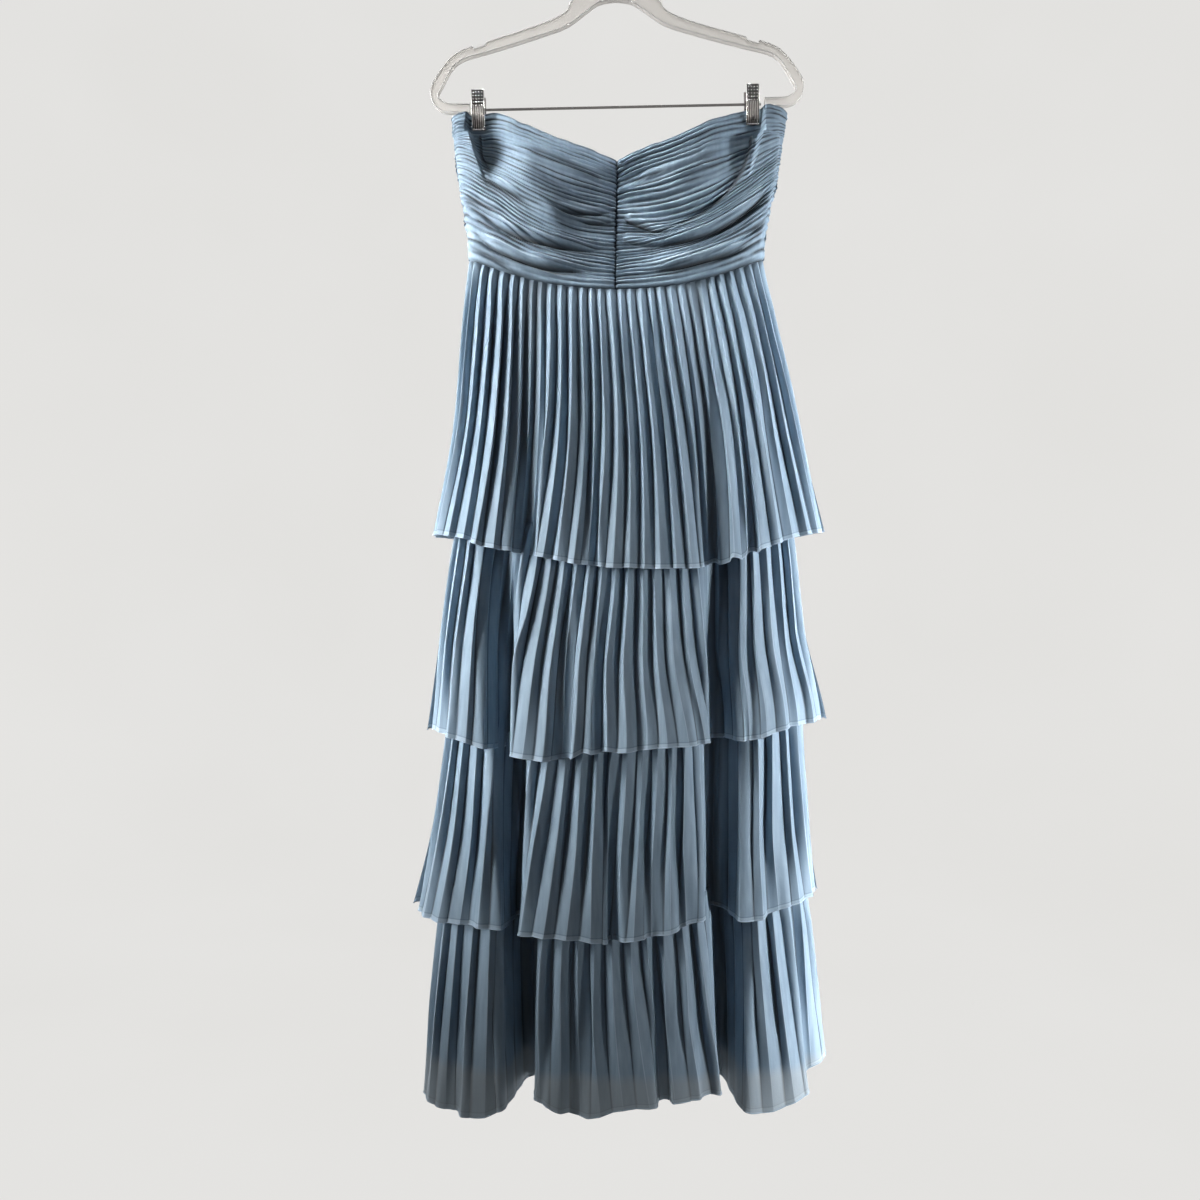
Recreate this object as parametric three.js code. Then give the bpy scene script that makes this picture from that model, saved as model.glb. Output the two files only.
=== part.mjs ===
// Strapless tiered maxi dress of pleated chiffon, hanging by two spring clips from a clear clip hanger.
// Millimetres, +Z up, +X to the wearer's left, the front faces -Y. The origin is the inner top of the hanger's hook,
// the point that rests on a rail.
//
// The cloth is built on one set of closed plan rings. Each ring is a flattened oval, deeper in front than behind, and
// sags in the middle of the front and back because only its two ends are clipped up. Every layer of the skirt stands
// off that common ring by its own distance, so the layers nest, and the accordion pleats are a zigzag about that line.
import * as THREE from "three";

// ---------------------------------------------------------------- driving dimensions
const CLOTH = 1.2; // wall of a pleated chiffon layer
const BODICE_WALL = 1.8; // pleated chiffon over its backing
const LINING_WALL = 1.0;
const SEAM_GAP = 0.4; // between pieces that are sewn edge to edge
const OVAL = 2.3; // exponent of the plan oval: 2 is an ellipse
const SAG_POWER = 2.2;

const CF_TOP = -304; // centre front neckline
const WAIST = -455; // centre front of the waist seam
const LINING_HEM = -1352;
const DRESS_X = 4.2; // the hanger tilts a little, so the dress hangs this far to the left of the hook's top
const GRIP_X = { left: 162, right: -165.6 }; // where the clips hold the neckline, from the dress's own middle
const GRIP_FOOT = -257;

// Common ring of the dress by level (its height at centre front): wearer's right and left extents,
// depth of the front and back, and how much higher the ring is at the side seams than in the middle.
const RINGS = [
  { level: -240, right: -197, left: 202, front: 22, back: 12, lift: 0 },
  { level: -330, right: -188, left: 190, front: 33, back: 16, lift: 20 },
  { level: -455, right: -175, left: 173, front: 31, back: 18, lift: 42 },
  { level: -520, right: -176, left: 182, front: 35, back: 20, lift: 42 },
  { level: -620, right: -176, left: 193, front: 40, back: 23, lift: 42 },
  { level: -780, right: -184, left: 200, front: 46, back: 26, lift: 40 },
  { level: -880, right: -190, left: 202, front: 49, back: 28, lift: 30 },
  { level: -986, right: -193, left: 212, front: 52, back: 30, lift: 22 },
  { level: -1090, right: -196, left: 212, front: 54, back: 31, lift: 20 },
  { level: -1196, right: -201, left: 218, front: 56, back: 32, lift: 18 },
  { level: -1392, right: -209, left: 228, front: 62, back: 36, lift: 8 },
];

// The two folds that run down the whole skirt, by level: where each lies and how far the ring dips there.
const LONG_FOLDS = [
  { level: -455, rightX: -84, rightDip: 0, leftX: 84, leftDip: 0 },
  { level: -620, rightX: -90, rightDip: 3, leftX: 98, leftDip: 2 },
  { level: -780, rightX: -98, rightDip: 13, leftX: 105, leftDip: 10 },
  { level: -986, rightX: -127, rightDip: 26, leftX: 119, leftDip: 26 },
  { level: -1196, rightX: -119, rightDip: 36, leftX: 117, leftDip: 34 },
  { level: -1392, rightX: -108, rightDip: 46, leftX: 126, leftDip: 44 },
];
const FOLD_FLAT = 6, FOLD_REACH = 22; // half width of a long fold's floor and of its mouth at a tier's hem
const FOLD_WIDER = 7; // how much wider the folds are in the layer inside it
const LINING_TUCK = 9; // and how much deeper in the lining

// One row for each tier: its seam and hem levels, how far its hem stands off the common ring, and its pleats.
const TIERS = [
  { name: "tier_1", seam: -455.4, hem: -780, offFront: 30, offRight: 30, offLeft: 40, offBack: 21, inFold: 17, open: 7.0, spring: 12, rings: [0, 0.07, 0.5, 1], flare: 1.5 },
  { name: "tier_2", seam: -740, hem: -986, offFront: 32, offRight: 35, offLeft: 33, offBack: 21, inFold: 17, open: 7.0, spring: 34, rings: [0, 0.4, 1], flare: 1.2 },
  { name: "tier_3", seam: -946, hem: -1196, offFront: 30, offRight: 31, offLeft: 18, offBack: 20, inFold: 16, open: 7.0, spring: 34, rings: [0, 0.4, 1], flare: 1.4 },
  { name: "tier_4", seam: -1156, hem: -1390, offFront: 28, offRight: 21, offLeft: 21, offBack: 15, inFold: 12, open: 6.5, spring: 34, rings: [0, 0.4, 1], flare: 1.1 },
];
// How much lower the front hem of each tier hangs than its ring, by share across the width (-1 is the wearer's right).
const HEM_DROP = [
  { share: -1, t0: 1, t1: 8, t2: 6, t3: 18 },
  { share: -0.93, t0: 1, t1: 9, t2: 6, t3: 19 },
  { share: -0.78, t0: 2, t1: 14, t2: 6, t3: 19 },
  { share: -0.6, t0: -1, t1: 17, t2: 5, t3: 3 },
  { share: -0.45, t0: -4, t1: 17, t2: 5, t3: -7 },
  { share: -0.2, t0: 0, t1: 3, t2: 6, t3: 2 },
  { share: 0, t0: 0, t1: 2, t2: 2, t3: -10 },
  { share: 0.22, t0: 4, t1: -4, t2: -6, t3: -12 },
  { share: 0.42, t0: 5, t1: -2, t2: -14, t3: -15 },
  { share: 0.7, t0: 4, t1: 1, t2: -4, t3: 9 },
  { share: 0.87, t0: 2, t1: -7, t2: -11, t3: -1 },
  { share: 1, t0: -2, t1: -5, t2: -16, t3: -26 },
];
const FRONT_PLEATS = 32, BACK_PLEATS = 28;
const SEAM_OFF = 3.3; // a tier's seam line stands this far off the lining
const PUFF = 3.6; // and springs out this much just below it

// Shorter folds of single tiers: where they lie at the seam and the hem, and their depth at the hem.
const SHORT_FOLDS = [
  { tier: 0, face: "front", xSeam: -62, xHem: -70, dip: 5, reach: 16 },
  { tier: 0, face: "front", xSeam: 138, xHem: 150, dip: 9, reach: 15 },
  { tier: 1, face: "front", xSeam: -58, xHem: -62, dip: 12, reach: 13 },
  { tier: 1, face: "front", xSeam: 182, xHem: 196, dip: 10, reach: 14 },
  { tier: 2, face: "front", xSeam: -10, xHem: -7, dip: 14, reach: 13 },
  { tier: 2, face: "front", xSeam: 58, xHem: 68, dip: 9, reach: 15 },
  { tier: 3, face: "front", xSeam: 40, xHem: 48, dip: 16, reach: 13 },
  { tier: 3, face: "front", xSeam: -40, xHem: -44, dip: 9, reach: 16 },
  { tier: 0, face: "back", xSeam: -60, xHem: -72, dip: 5, reach: 20 },
  { tier: 0, face: "back", xSeam: 70, xHem: 84, dip: 6, reach: 20 },
  { tier: 1, face: "back", xSeam: 20, xHem: 26, dip: 8, reach: 22 },
  { tier: 1, face: "back", xSeam: -120, xHem: -128, dip: 7, reach: 20 },
  { tier: 2, face: "back", xSeam: -40, xHem: -48, dip: 5, reach: 24 },
  { tier: 2, face: "back", xSeam: 110, xHem: 122, dip: 7, reach: 20 },
  { tier: 3, face: "back", xSeam: -96, xHem: -106, dip: 7, reach: 20 },
  { tier: 3, face: "back", xSeam: 52, xHem: 60, dip: 6, reach: 22 },
];

// Neckline of the front, by distance from the centre seam: its height on each side.
const NECKLINE = [
  { x: 0, right: CF_TOP, left: CF_TOP },
  { x: 25, right: -294, left: -293 },
  { x: 72, right: -277, left: -274 },
  { x: 115, right: -256, left: -252 },
  { x: 150, right: -236, left: -234 },
  { x: 165, right: -239, left: -232 },
  { x: 176, right: -239, left: -231 },
  { x: 192, right: -241, left: -232 },
  { x: 204, right: -247, left: -237 },
];
const BACK_NECK_DIP = 76; // the back neckline hangs in a curve from clip to clip
const SWAGS = 8; // soft folds of each bodice front, from its side seam to the centre seam
const SWAG_DEEP = 2.6, SWAG_DROOP = 0.2;
const BACK_SWAGS = 5;

// ---------------------------------------------------------------- small helpers
const clamp = (v, a, b) => Math.min(b, Math.max(a, v));
const mix = (a, b, t) => a + (b - a) * t;
const smooth = (t) => { t = clamp(t, 0, 1); return t * t * (3 - 2 * t); };
const hump = (d, flat, reach) => smooth((reach - Math.abs(d)) / (reach - flat));

// Reads a column of a table at v, along the monotone key column, with a smooth curve through the rows.
function read(table, key, column, v) {
  const up = table[table.length - 1][key] > table[0][key];
  const rows = up ? table : [...table].reverse();
  const x = rows.map((r) => r[key]), y = rows.map((r) => r[column]);
  v = clamp(v, x[0], x[x.length - 1]);
  let i = 0;
  while (i < x.length - 2 && v > x[i + 1]) i++;
  const slope = (k) => {
    if (k <= 0 || k >= x.length - 1) return 0;
    const a = (y[k] - y[k - 1]) / (x[k] - x[k - 1]), b = (y[k + 1] - y[k]) / (x[k + 1] - x[k]);
    return a * b <= 0 ? 0 : (2 * a * b) / (a + b);
  };
  const h = x[i + 1] - x[i], t = (v - x[i]) / h;
  const m0 = i === 0 ? (y[1] - y[0]) / (x[1] - x[0]) : slope(i);
  const m1 = i === x.length - 2 ? (y[i + 1] - y[i]) / h : slope(i + 1);
  const t2 = t * t, t3 = t2 * t;
  return (2 * t3 - 3 * t2 + 1) * y[i] + (t3 - 2 * t2 + t) * h * m0 + (3 * t2 - 2 * t3) * y[i + 1] + (t3 - t2) * h * m1;
}

// A point of the common ring. angle runs from the wearer's right side seam (0) to the left one (PI); face is -1 in
// front and 1 behind. It gives the point, its outward direction in plan and its share across the width.
function ringPoint(level, angle, face) {
  const right = read(RINGS, "level", "right", level), left = read(RINGS, "level", "left", level);
  const deep = read(RINGS, "level", face < 0 ? "front" : "back", level);
  const lift = read(RINGS, "level", "lift", level);
  const middle = (right + left) / 2, half = (left - right) / 2;
  const c = -Math.cos(angle), s = Math.sin(angle);
  const e = Math.sign(c) * Math.abs(c) ** (2 / OVAL), f = Math.abs(s) ** (2 / OVAL);
  let nx = (Math.sign(c) * Math.abs(e) ** (OVAL - 1)) / half, ny = (face * f ** (OVAL - 1)) / deep;
  const n = Math.hypot(nx, ny) || 1;
  return { x: middle + half * e, y: face * deep * f, z: level + lift * Math.abs(e) ** SAG_POWER, nx: nx / n, ny: ny / n, share: e };
}

// How far the common ring dips inward at x, from the two long folds.
function longDip(level, x, wider) {
  let dip = 0, mask = 0;
  for (const side of ["right", "left"]) {
    const m = hump(x - read(LONG_FOLDS, "level", side + "X", level), FOLD_FLAT + wider, FOLD_REACH + wider);
    dip += m * read(LONG_FOLDS, "level", side + "Dip", level);
    mask = Math.max(mask, m);
  }
  return { dip, mask };
}

// The closed wall between two grids of points, rows by columns, outer and inner.
function wall(outer, inner) {
  const rows = outer.length, cols = outer[0].length, pos = [], idx = [];
  for (const grid of [outer, inner]) for (const row of grid) for (const p of row) pos.push(p[0], p[1], p[2]);
  const o = (r, c) => r * cols + c, i = (r, c) => rows * cols + r * cols + c;
  const quad = (a, b, c, d) => idx.push(a, b, c, a, c, d);
  for (let r = 0; r < rows - 1; r++)
    for (let c = 0; c < cols - 1; c++) {
      quad(o(r, c), o(r + 1, c), o(r + 1, c + 1), o(r, c + 1));
      quad(i(r, c), i(r, c + 1), i(r + 1, c + 1), i(r + 1, c));
    }
  // the inner face above splits along its other diagonal, so it is turned back here to follow the outer one
  for (let k = 0; k < idx.length; k += 12) {
    const [a, b, c, , , d] = idx.slice(k + 6, k + 12);
    idx.splice(k + 6, 6, a, b, c, a, c, d);
  }
  for (let c = 0; c < cols - 1; c++) {
    quad(o(0, c), o(0, c + 1), i(0, c + 1), i(0, c));
    quad(o(rows - 1, c + 1), o(rows - 1, c), i(rows - 1, c), i(rows - 1, c + 1));
  }
  for (let r = 0; r < rows - 1; r++) {
    quad(o(r + 1, 0), o(r, 0), i(r, 0), i(r + 1, 0));
    quad(o(r, cols - 1), o(r + 1, cols - 1), i(r + 1, cols - 1), i(r, cols - 1));
  }
  let volume = 0;
  const p = (k) => [pos[3 * k], pos[3 * k + 1], pos[3 * k + 2]];
  for (let k = 0; k < idx.length; k += 3) {
    const [a, b, c] = [p(idx[k]), p(idx[k + 1]), p(idx[k + 2])];
    volume += a[0] * (b[1] * c[2] - b[2] * c[1]) + a[1] * (b[2] * c[0] - b[0] * c[2]) + a[2] * (b[0] * c[1] - b[1] * c[0]);
  }
  if (volume < 0) for (let k = 0; k < idx.length; k += 3) [idx[k + 1], idx[k + 2]] = [idx[k + 2], idx[k + 1]];
  const g = new THREE.BufferGeometry();
  g.setAttribute("position", new THREE.Float32BufferAttribute(pos, 3));
  g.setIndex(idx);
  g.computeVertexNormals();
  return g;
}

// ---------------------------------------------------------------- the skirt
// Distance of a tier from the common ring at share t of its height and a given place across.
function standOff(tier, index, face, t, p, mask) {
  const down = t * (tier.seam - tier.hem);
  const side = p.share < 0 ? tier.offRight : tier.offLeft;
  const full = mix(face < 0 ? tier.offFront : tier.offBack, side, p.nx * p.nx);
  const grow = t ** tier.flare;
  const atSeam = SEAM_OFF + PUFF * (1 - Math.exp(-down / tier.spring)) * (index ? 1 : 1 - 0.7 * p.nx * p.nx);
  let off = atSeam + (mix(full, face < 0 ? tier.inFold : full, face < 0 ? mask : 0) - atSeam) * grow;
  for (const fold of SHORT_FOLDS)
    if (fold.tier === index && fold.face === (face < 0 ? "front" : "back"))
      off -= fold.dip * grow * hump(p.x - mix(fold.xSeam, fold.xHem, t), 3, fold.reach);
  return off;
}

// How much lower a tier's hem hangs at a share across: the back meets the front at the side seams.
function hemDrop(index, face, share) {
  if (face > 0) return read(HEM_DROP, "share", "t" + index, Math.sign(share)) * share * share;
  return read(HEM_DROP, "share", "t" + index, share);
}

// The line of a layer at one level, before pleating: dense points from side seam to side seam.
const DENSE = 240;
function layerLine(level, face, wider, off, lower = () => 0) {
  const line = [];
  for (let k = 0; k <= DENSE; k++) {
    const p = ringPoint(level, (Math.PI * k) / DENSE, face);
    const { dip, mask } = face < 0 ? longDip(level, p.x, wider) : { dip: 0, mask: 0 };
    const d = off(p, mask) - dip;
    line.push({ x: p.x + p.nx * d, y: p.y + p.ny * d + face * SEAM_GAP * 0.5, z: p.z - lower(p), nx: p.nx, ny: p.ny, mask, acrossX: p.x });
  }
  let run = 0;
  line.forEach((p, k) => {
    if (k) run += Math.hypot(p.x - line[k - 1].x, p.y - line[k - 1].y);
    p.run = run;
  });
  // turn the outward direction square to the folded line itself, except at the two seams
  for (let k = 4; k <= DENSE - 4; k++) {
    const u = [line[k + 4].x - line[k - 4].x, line[k + 4].y - line[k - 4].y], l = Math.hypot(...u);
    const away = Math.sign(u[1] * line[k].nx - u[0] * line[k].ny) || 1;
    [line[k].tx, line[k].ty] = [(away * u[1]) / l, (-away * u[0]) / l];
  }
  for (let k = 4; k <= DENSE - 4; k++) [line[k].nx, line[k].ny] = [line[k].tx, line[k].ty];
  return line;
}

function along(line, share) {
  const want = share * line[line.length - 1].run;
  let k = 1;
  while (k < line.length - 1 && line[k].run < want) k++;
  const a = line[k - 1], b = line[k], t = (want - a.run) / (b.run - a.run || 1);
  const out = {};
  for (const key of ["x", "y", "z", "nx", "ny", "mask"]) out[key] = mix(a[key], b[key], t);
  return out;
}

// Offsets a row of plan points to both sides by half the cloth, square to the cloth, with its two ends square to X.
function thicken(row, thick) {
  const side = (sign) =>
    row.map((p, k) => {
      const a = row[Math.max(0, k - 1)], b = row[Math.min(row.length - 1, k + 1)];
      if (k === 0 || k === row.length - 1) return [p.x + sign * Math.sign(p.nx) * (thick / 2), p.y, p.z];
      const u = [p.x - a.x, p.y - a.y], v = [b.x - p.x, b.y - p.y];
      const lu = Math.hypot(...u), lv = Math.hypot(...v);
      const n1 = [u[1] / lu, -u[0] / lu], n2 = [v[1] / lv, -v[0] / lv];
      let m = [n1[0] + n2[0], n1[1] + n2[1]];
      const lm = Math.hypot(...m) || 1;
      m = [m[0] / lm, m[1] / lm];
      const reach = (thick / 2) / Math.max(0.6, m[0] * n1[0] + m[1] * n1[1]);
      const outward = sign * Math.sign(m[0] * p.nx + m[1] * p.ny || 1);
      return [p.x + m[0] * reach * outward, p.y + m[1] * reach * outward, p.z];
    });
  return [side(1), side(-1)];
}

function pleatedPanel(tier, index, face) {
  const pleats = face < 0 ? FRONT_PLEATS : BACK_PLEATS;
  const lineAt = (t) => layerLine(mix(tier.seam, tier.hem, t), face, FOLD_WIDER * (1 - t), (p, mask) => standOff(tier, index, face, t, p, mask), (p) => hemDrop(index, face, p.share) * t ** 1.5);
  const hem = lineAt(1), half = hem[hem.length - 1].run / pleats / 2;
  const leg = Math.hypot(half, tier.open);
  const outer = [], inner = [];
  for (const t of tier.rings) {
    const line = lineAt(t), pitch = line[line.length - 1].run / pleats / 2;
    const down = t * (tier.seam - tier.hem);
    const height = Math.min(9, Math.sqrt(Math.max(4, leg * leg - pitch * pitch))) * (1 - 0.62 * Math.exp(-down / tier.spring));
    const row = [];
    for (let k = 0; k <= 2 * pleats; k++) {
      const p = along(line, k / (2 * pleats));
      const end = k === 0 || k === 2 * pleats;
      const d = end ? 0 : (k % 2 ? 0.5 : -0.5) * height * (1 - 0.4 * p.mask);
      row.push({ ...p, x: p.x + p.nx * d, y: p.y + p.ny * d });
    }
    const [o, i] = thicken(row, CLOTH);
    outer.push(o);
    inner.push(i);
  }
  return wall(outer, inner);
}

// The lining's columns stand at the edges of the long folds, so that it follows them on the inside.
function liningPanel(face) {
  const outer = [], inner = [];
  const flat = FOLD_FLAT + FOLD_WIDER, reach = FOLD_REACH + FOLD_WIDER;
  for (const level of [TIERS[0].seam, TIERS[1].seam, TIERS[2].seam, TIERS[3].seam, LINING_HEM]) {
    const line = layerLine(level, face, FOLD_WIDER, (p, mask) => -LINING_WALL / 2 - 0.5 - LINING_TUCK * mask * smooth((WAIST - level) / 200));
    const first = line[0].acrossX, last = line[DENSE].acrossX;
    const rightX = read(LONG_FOLDS, "level", "rightX", level), leftX = read(LONG_FOLDS, "level", "leftX", level);
    const stops = face > 0 ? [] : [-reach, (-flat - reach) / 2, -flat, flat, (flat + reach) / 2, reach];
    const marks = [
      { x: first, steps: face > 0 ? 0 : 6 }, ...stops.map((d) => ({ x: rightX + d, steps: d === reach ? 7 : 1 })),
      ...stops.map((d) => ({ x: leftX + d, steps: d === reach ? 6 : 1 })),
    ];
    if (face > 0) marks[0].steps = 18;
    const row = [];
    marks.forEach((m, k) => {
      const next = k + 1 < marks.length ? marks[k + 1].x : last;
      for (let j = 0; j < m.steps; j++) {
        // near the side seams the columns crowd toward the seam, where the ring turns
        const t = j / m.steps, ends = face > 0 ? (1 - Math.cos(Math.PI * t)) / 2 : k === 0 ? t * t : k === marks.length - 1 ? 1 - (1 - t) ** 2 : t;
        row.push(atX(line, mix(m.x, next, ends)));
      }
    });
    row.push(atX(line, last));
    const [o, i] = thicken(row, LINING_WALL);
    outer.push(o);
    inner.push(i);
  }
  return wall(outer, inner);
}

function atX(line, x) {
  let k = 1;
  while (k < DENSE && line[k].acrossX < x) k++;
  const a = line[k - 1], b = line[k], t = clamp((x - a.acrossX) / (b.acrossX - a.acrossX || 1), 0, 1);
  const out = {};
  for (const key of ["x", "y", "z", "nx", "ny"]) out[key] = mix(a[key], b[key], t);
  return out;
}

// ---------------------------------------------------------------- the bodice
// The neckline's height on the front and on the back at a place across.
function neckFront(x) {
  return read(NECKLINE, "x", x < 0 ? "right" : "left", Math.abs(x));
}
function neckBack(x) {
  const inClips = clamp(Math.abs(x) / 162, 0, 1);
  return Math.min(neckFront(x), mix(-229 - BACK_NECK_DIP, -229, inClips ** 2.2));
}

// Where the clips pinch the front and back together.
function pinch(x, z) {
  let most = 0;
  for (const at of Object.values(GRIP_X)) {
    const d = x - at, outside = Math.sign(d) === Math.sign(at);
    const across = smooth(((outside ? 20 : 40) - Math.abs(d)) / ((outside ? 20 : 40) - 11));
    most = Math.max(most, across * smooth((z - (GRIP_FOOT - 60)) / 56));
  }
  return most;
}

// A point of the bodice: angle round the ring, share b from neckline (0) to waist seam (1), and its distance outward.
function bodicePoint(angle, face, b, out) {
  const waist = ringPoint(WAIST, angle, face);
  const topX = ringPoint(-240, angle, face).x;
  const top = face < 0 ? neckFront(topX) : neckBack(topX);
  const z = mix(top, waist.z, b);
  const level = clamp(z - (waist.z - WAIST) * b, WAIST, -240);
  const p = ringPoint(level, angle, face);
  const held = pinch(p.x, z);
  const proud = Math.min(out, BODICE_WALL + 0.5);
  const y = mix(p.y + p.ny * out, face * (0.2 + (out < BODICE_WALL ? 0.25 * out : proud)), held) + face * SEAM_GAP * 0.5;
  return [p.x + p.nx * out * (1 - 0.75 * held), y, z];
}

// The columns of the bodice panels, as shares across the width, close together where the clips pinch the cloth.
const COLUMNS_RIGHT = [-1, -0.99, -0.96, -0.925, -0.893, -0.843, -0.793, -0.71, -0.6, -0.45, -0.3, -0.15, 0];
const COLUMNS_LEFT = [0, 0.15, 0.3, 0.43, 0.56, 0.67, 0.745, 0.795, 0.845, 0.885, 0.93, 0.98, 1];
const COLUMNS_BACK = [-1, -0.98, -0.93, -0.893, -0.843, -0.793, -0.7, -0.5, -0.25, 0, 0.25, 0.5, 0.66, 0.745, 0.795, 0.845, 0.9, 0.97, 1];
const angleOf = (share) => Math.acos(-Math.sign(share) * Math.abs(share) ** (OVAL / 2));
const CENTRE_SHARE = -1.5 / 185; // of the centre front seam, which lies at x = 0

function bodicePanel(columns, face, swags, droop) {
  const outer = [], inner = [];
  const rows = 2 * swags + 1;
  for (let r = 0; r < rows; r++) {
    const b = r / (rows - 1);
    const o = [], i = [];
    for (const share of columns) {
      const angle = angleOf(share === 0 && face < 0 ? CENTRE_SHARE + (columns[0] < 0 ? -0.0016 : 0.0016) : share);
      const sideways = Math.abs(share);
      const bow = Math.sin(Math.PI * sideways ** 0.9) * 4 * b * (1 - b) * droop;
      const fade = Math.min(1, (1 - sideways) * 6 + 0.35) * Math.min(1, sideways * 9 + 0.4);
      const out = (r % 2 ? SWAG_DEEP : 0) * fade;
      const bb = b + (r > 0 && r < rows - 1 ? bow : 0);
      o.push(bodicePoint(angle, face, bb, out + BODICE_WALL));
      i.push(bodicePoint(angle, face, bb, out));
    }
    outer.push(o);
    inner.push(i);
  }
  return wall(outer, inner);
}

// ---------------------------------------------------------------- the hanger
const HANGER_TILT = 1.2; // degrees; the wearer's left end hangs higher
const FRAME_DEEP = 6;
const WIRE = 1.9; // radius of the hook's wire
const HOOK_R = 22; // radius of the hook's bend, to the wire's centre
const BAR_R = 1.5, BAR_Z = -227.2, BAR_HALF = 172;
const CLIP_X = { left: 161.2, right: -166.4 }; // along the bar
const NECK_TOP = -68;
// Half of the clear frame, from the neck round to the end that holds the bar: its outer and inner edges.
const FRAME = [
  { outX: 13, outZ: NECK_TOP, inX: 0, inZ: -100 },
  { outX: 20, outZ: -71, inX: 12, inZ: -101.3 },
  { outX: 51, outZ: -98, inX: 23, inZ: -105 },
  { outX: 62, outZ: -114.5, inX: 39, inZ: -116.5 },
  { outX: 93, outZ: -128, inX: 60, inZ: -130.5 },
  { outX: 127, outZ: -138.5, inX: 93, inZ: -141.5 },
  { outX: 155, outZ: -147, inX: 118, inZ: -149 },
  { outX: 181, outZ: -154.5, inX: 155, inZ: -159.5 },
  { outX: 196.5, outZ: -162.7, inX: 182, inZ: -167 },
  { outX: 211.2, outZ: -179.5, inX: 196, inZ: -177 },
  { outX: 223.6, outZ: -201, inX: 207.5, inZ: -196.5 },
  { outX: 221.5, outZ: -218, inX: 214, inZ: -210.5 },
  { outX: 213, outZ: -227.5, inX: 207, inZ: -217.5 },
  { outX: 203, outZ: -231, inX: 199, inZ: -220 },
  { outX: 176, outZ: -231.5, inX: 176, inZ: -220.5 },
];

function hangerFrame() {
  const smoothRow = (keyX, keyZ, first, last, n) =>
    new THREE.SplineCurve(FRAME.slice(first, last).map((r) => new THREE.Vector2(r[keyX], r[keyZ]))).getPoints(n);
  const half = [];
  const outerTop = smoothRow("outX", "outZ", 1, 7, 16);
  const outerEnd = smoothRow("outX", "outZ", 7, 14, 18);
  half.push(new THREE.Vector2(FRAME[0].outX, FRAME[0].outZ), ...outerTop);
  // the shoulder notch that keeps straps from slipping
  half.push(new THREE.Vector2(158, -151.5), new THREE.Vector2(170, -155), new THREE.Vector2(171.5, -151.5));
  half.push(...outerEnd, new THREE.Vector2(FRAME[14].outX, FRAME[14].outZ));
  half.push(new THREE.Vector2(FRAME[14].inX, FRAME[14].inZ));
  const inner = smoothRow("inX", "inZ", 0, 14, 34).reverse();
  half.push(...inner.slice(0, -1));
  const outline = [...half, new THREE.Vector2(0, FRAME[0].inZ)];
  for (let k = half.length - 1; k >= 0; k--) outline.push(new THREE.Vector2(-half[k].x, half[k].y));
  const g = new THREE.ExtrudeGeometry(new THREE.Shape(outline), { depth: FRAME_DEEP - 1.6, bevelEnabled: true, bevelThickness: 0.8, bevelSize: 0.8, bevelOffset: -0.8, bevelSegments: 1, curveSegments: 1 });
  g.rotateX(Math.PI / 2);
  g.translate(0, (FRAME_DEEP - 1.6) / 2, 0);
  return g;
}

// A round wire along a list of [x, z] points in the hanger's plane.
function wire(points, radius, sides, steps, y = 0) {
  const path = new THREE.CatmullRomCurve3(points.map(([x, z]) => new THREE.Vector3(x, y, z)), false, "centripetal");
  const section = new THREE.Shape();
  for (let k = 0; k < sides; k++) {
    const a = (2 * Math.PI * k) / sides;
    section[k ? "lineTo" : "moveTo"](radius * Math.cos(a), radius * Math.sin(a));
  }
  return new THREE.ExtrudeGeometry(section, { steps, extrudePath: path, bevelEnabled: false });
}

function hookPoints() {
  const top = WIRE - HOOK_R; // height of the bend's centre, so that the wire's inner top is at the origin
  const points = [[0, NECK_TOP + 0.4], [0, NECK_TOP + 6], [3.5, NECK_TOP + 11], [12, NECK_TOP + 19]];
  for (let a = -30; a <= 200; a += 23) points.push([HOOK_R * Math.cos((a * Math.PI) / 180), top + HOOK_R * Math.sin((a * Math.PI) / 180)]);
  points.push([-HOOK_R - 3, top - 13]);
  return points;
}

// Clip: two ribbed jaws on the bar, with a coiled spring between them.
const CLIP = { wide: 15.5, top: -207.5, foot: -253.3, plate: 1.2, spread: 9.5, lip: 3.2 };
function clipJaw(sign) {
  // the jaw's side profile, in (depth, height): open at the top for the fingers, closed on the cloth at the foot
  const s = new THREE.Shape();
  const ribs = [
    [CLIP.spread, CLIP.top], [CLIP.spread + CLIP.plate, CLIP.top], [CLIP.spread + 0.4, BAR_Z - 1],
    [CLIP.lip + 3.4, CLIP.foot + 10], [CLIP.lip + 1.6, CLIP.foot], [CLIP.lip, CLIP.foot], [CLIP.lip, CLIP.foot + 7],
    [CLIP.lip + 2, CLIP.foot + 10.6], [CLIP.spread - 0.9, BAR_Z - 1],
  ];
  ribs.forEach(([y, z], k) => s[k ? "lineTo" : "moveTo"](sign * y, z));
  const g = new THREE.ExtrudeGeometry(s, { depth: CLIP.wide, bevelEnabled: false });
  // extruded along +Z with the profile in X and Y: stood up so that the profile lies in Y and Z
  g.applyMatrix4(new THREE.Matrix4().set(0, 0, 1, -CLIP.wide / 2, 1, 0, 0, 0, 0, 1, 0, 0, 0, 0, 0, 1));
  return g;
}
function clipSpring() {
  const outer = 5.2, innerR = 2.2, half = 6.2;
  const profile = [[innerR, -half], [outer, -half], [outer, half], [innerR, half], [innerR, -half]].map(([r, h]) => new THREE.Vector2(r, h));
  const g = new THREE.LatheGeometry(profile, 20);
  g.rotateZ(Math.PI / 2);
  return g;
}

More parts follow.
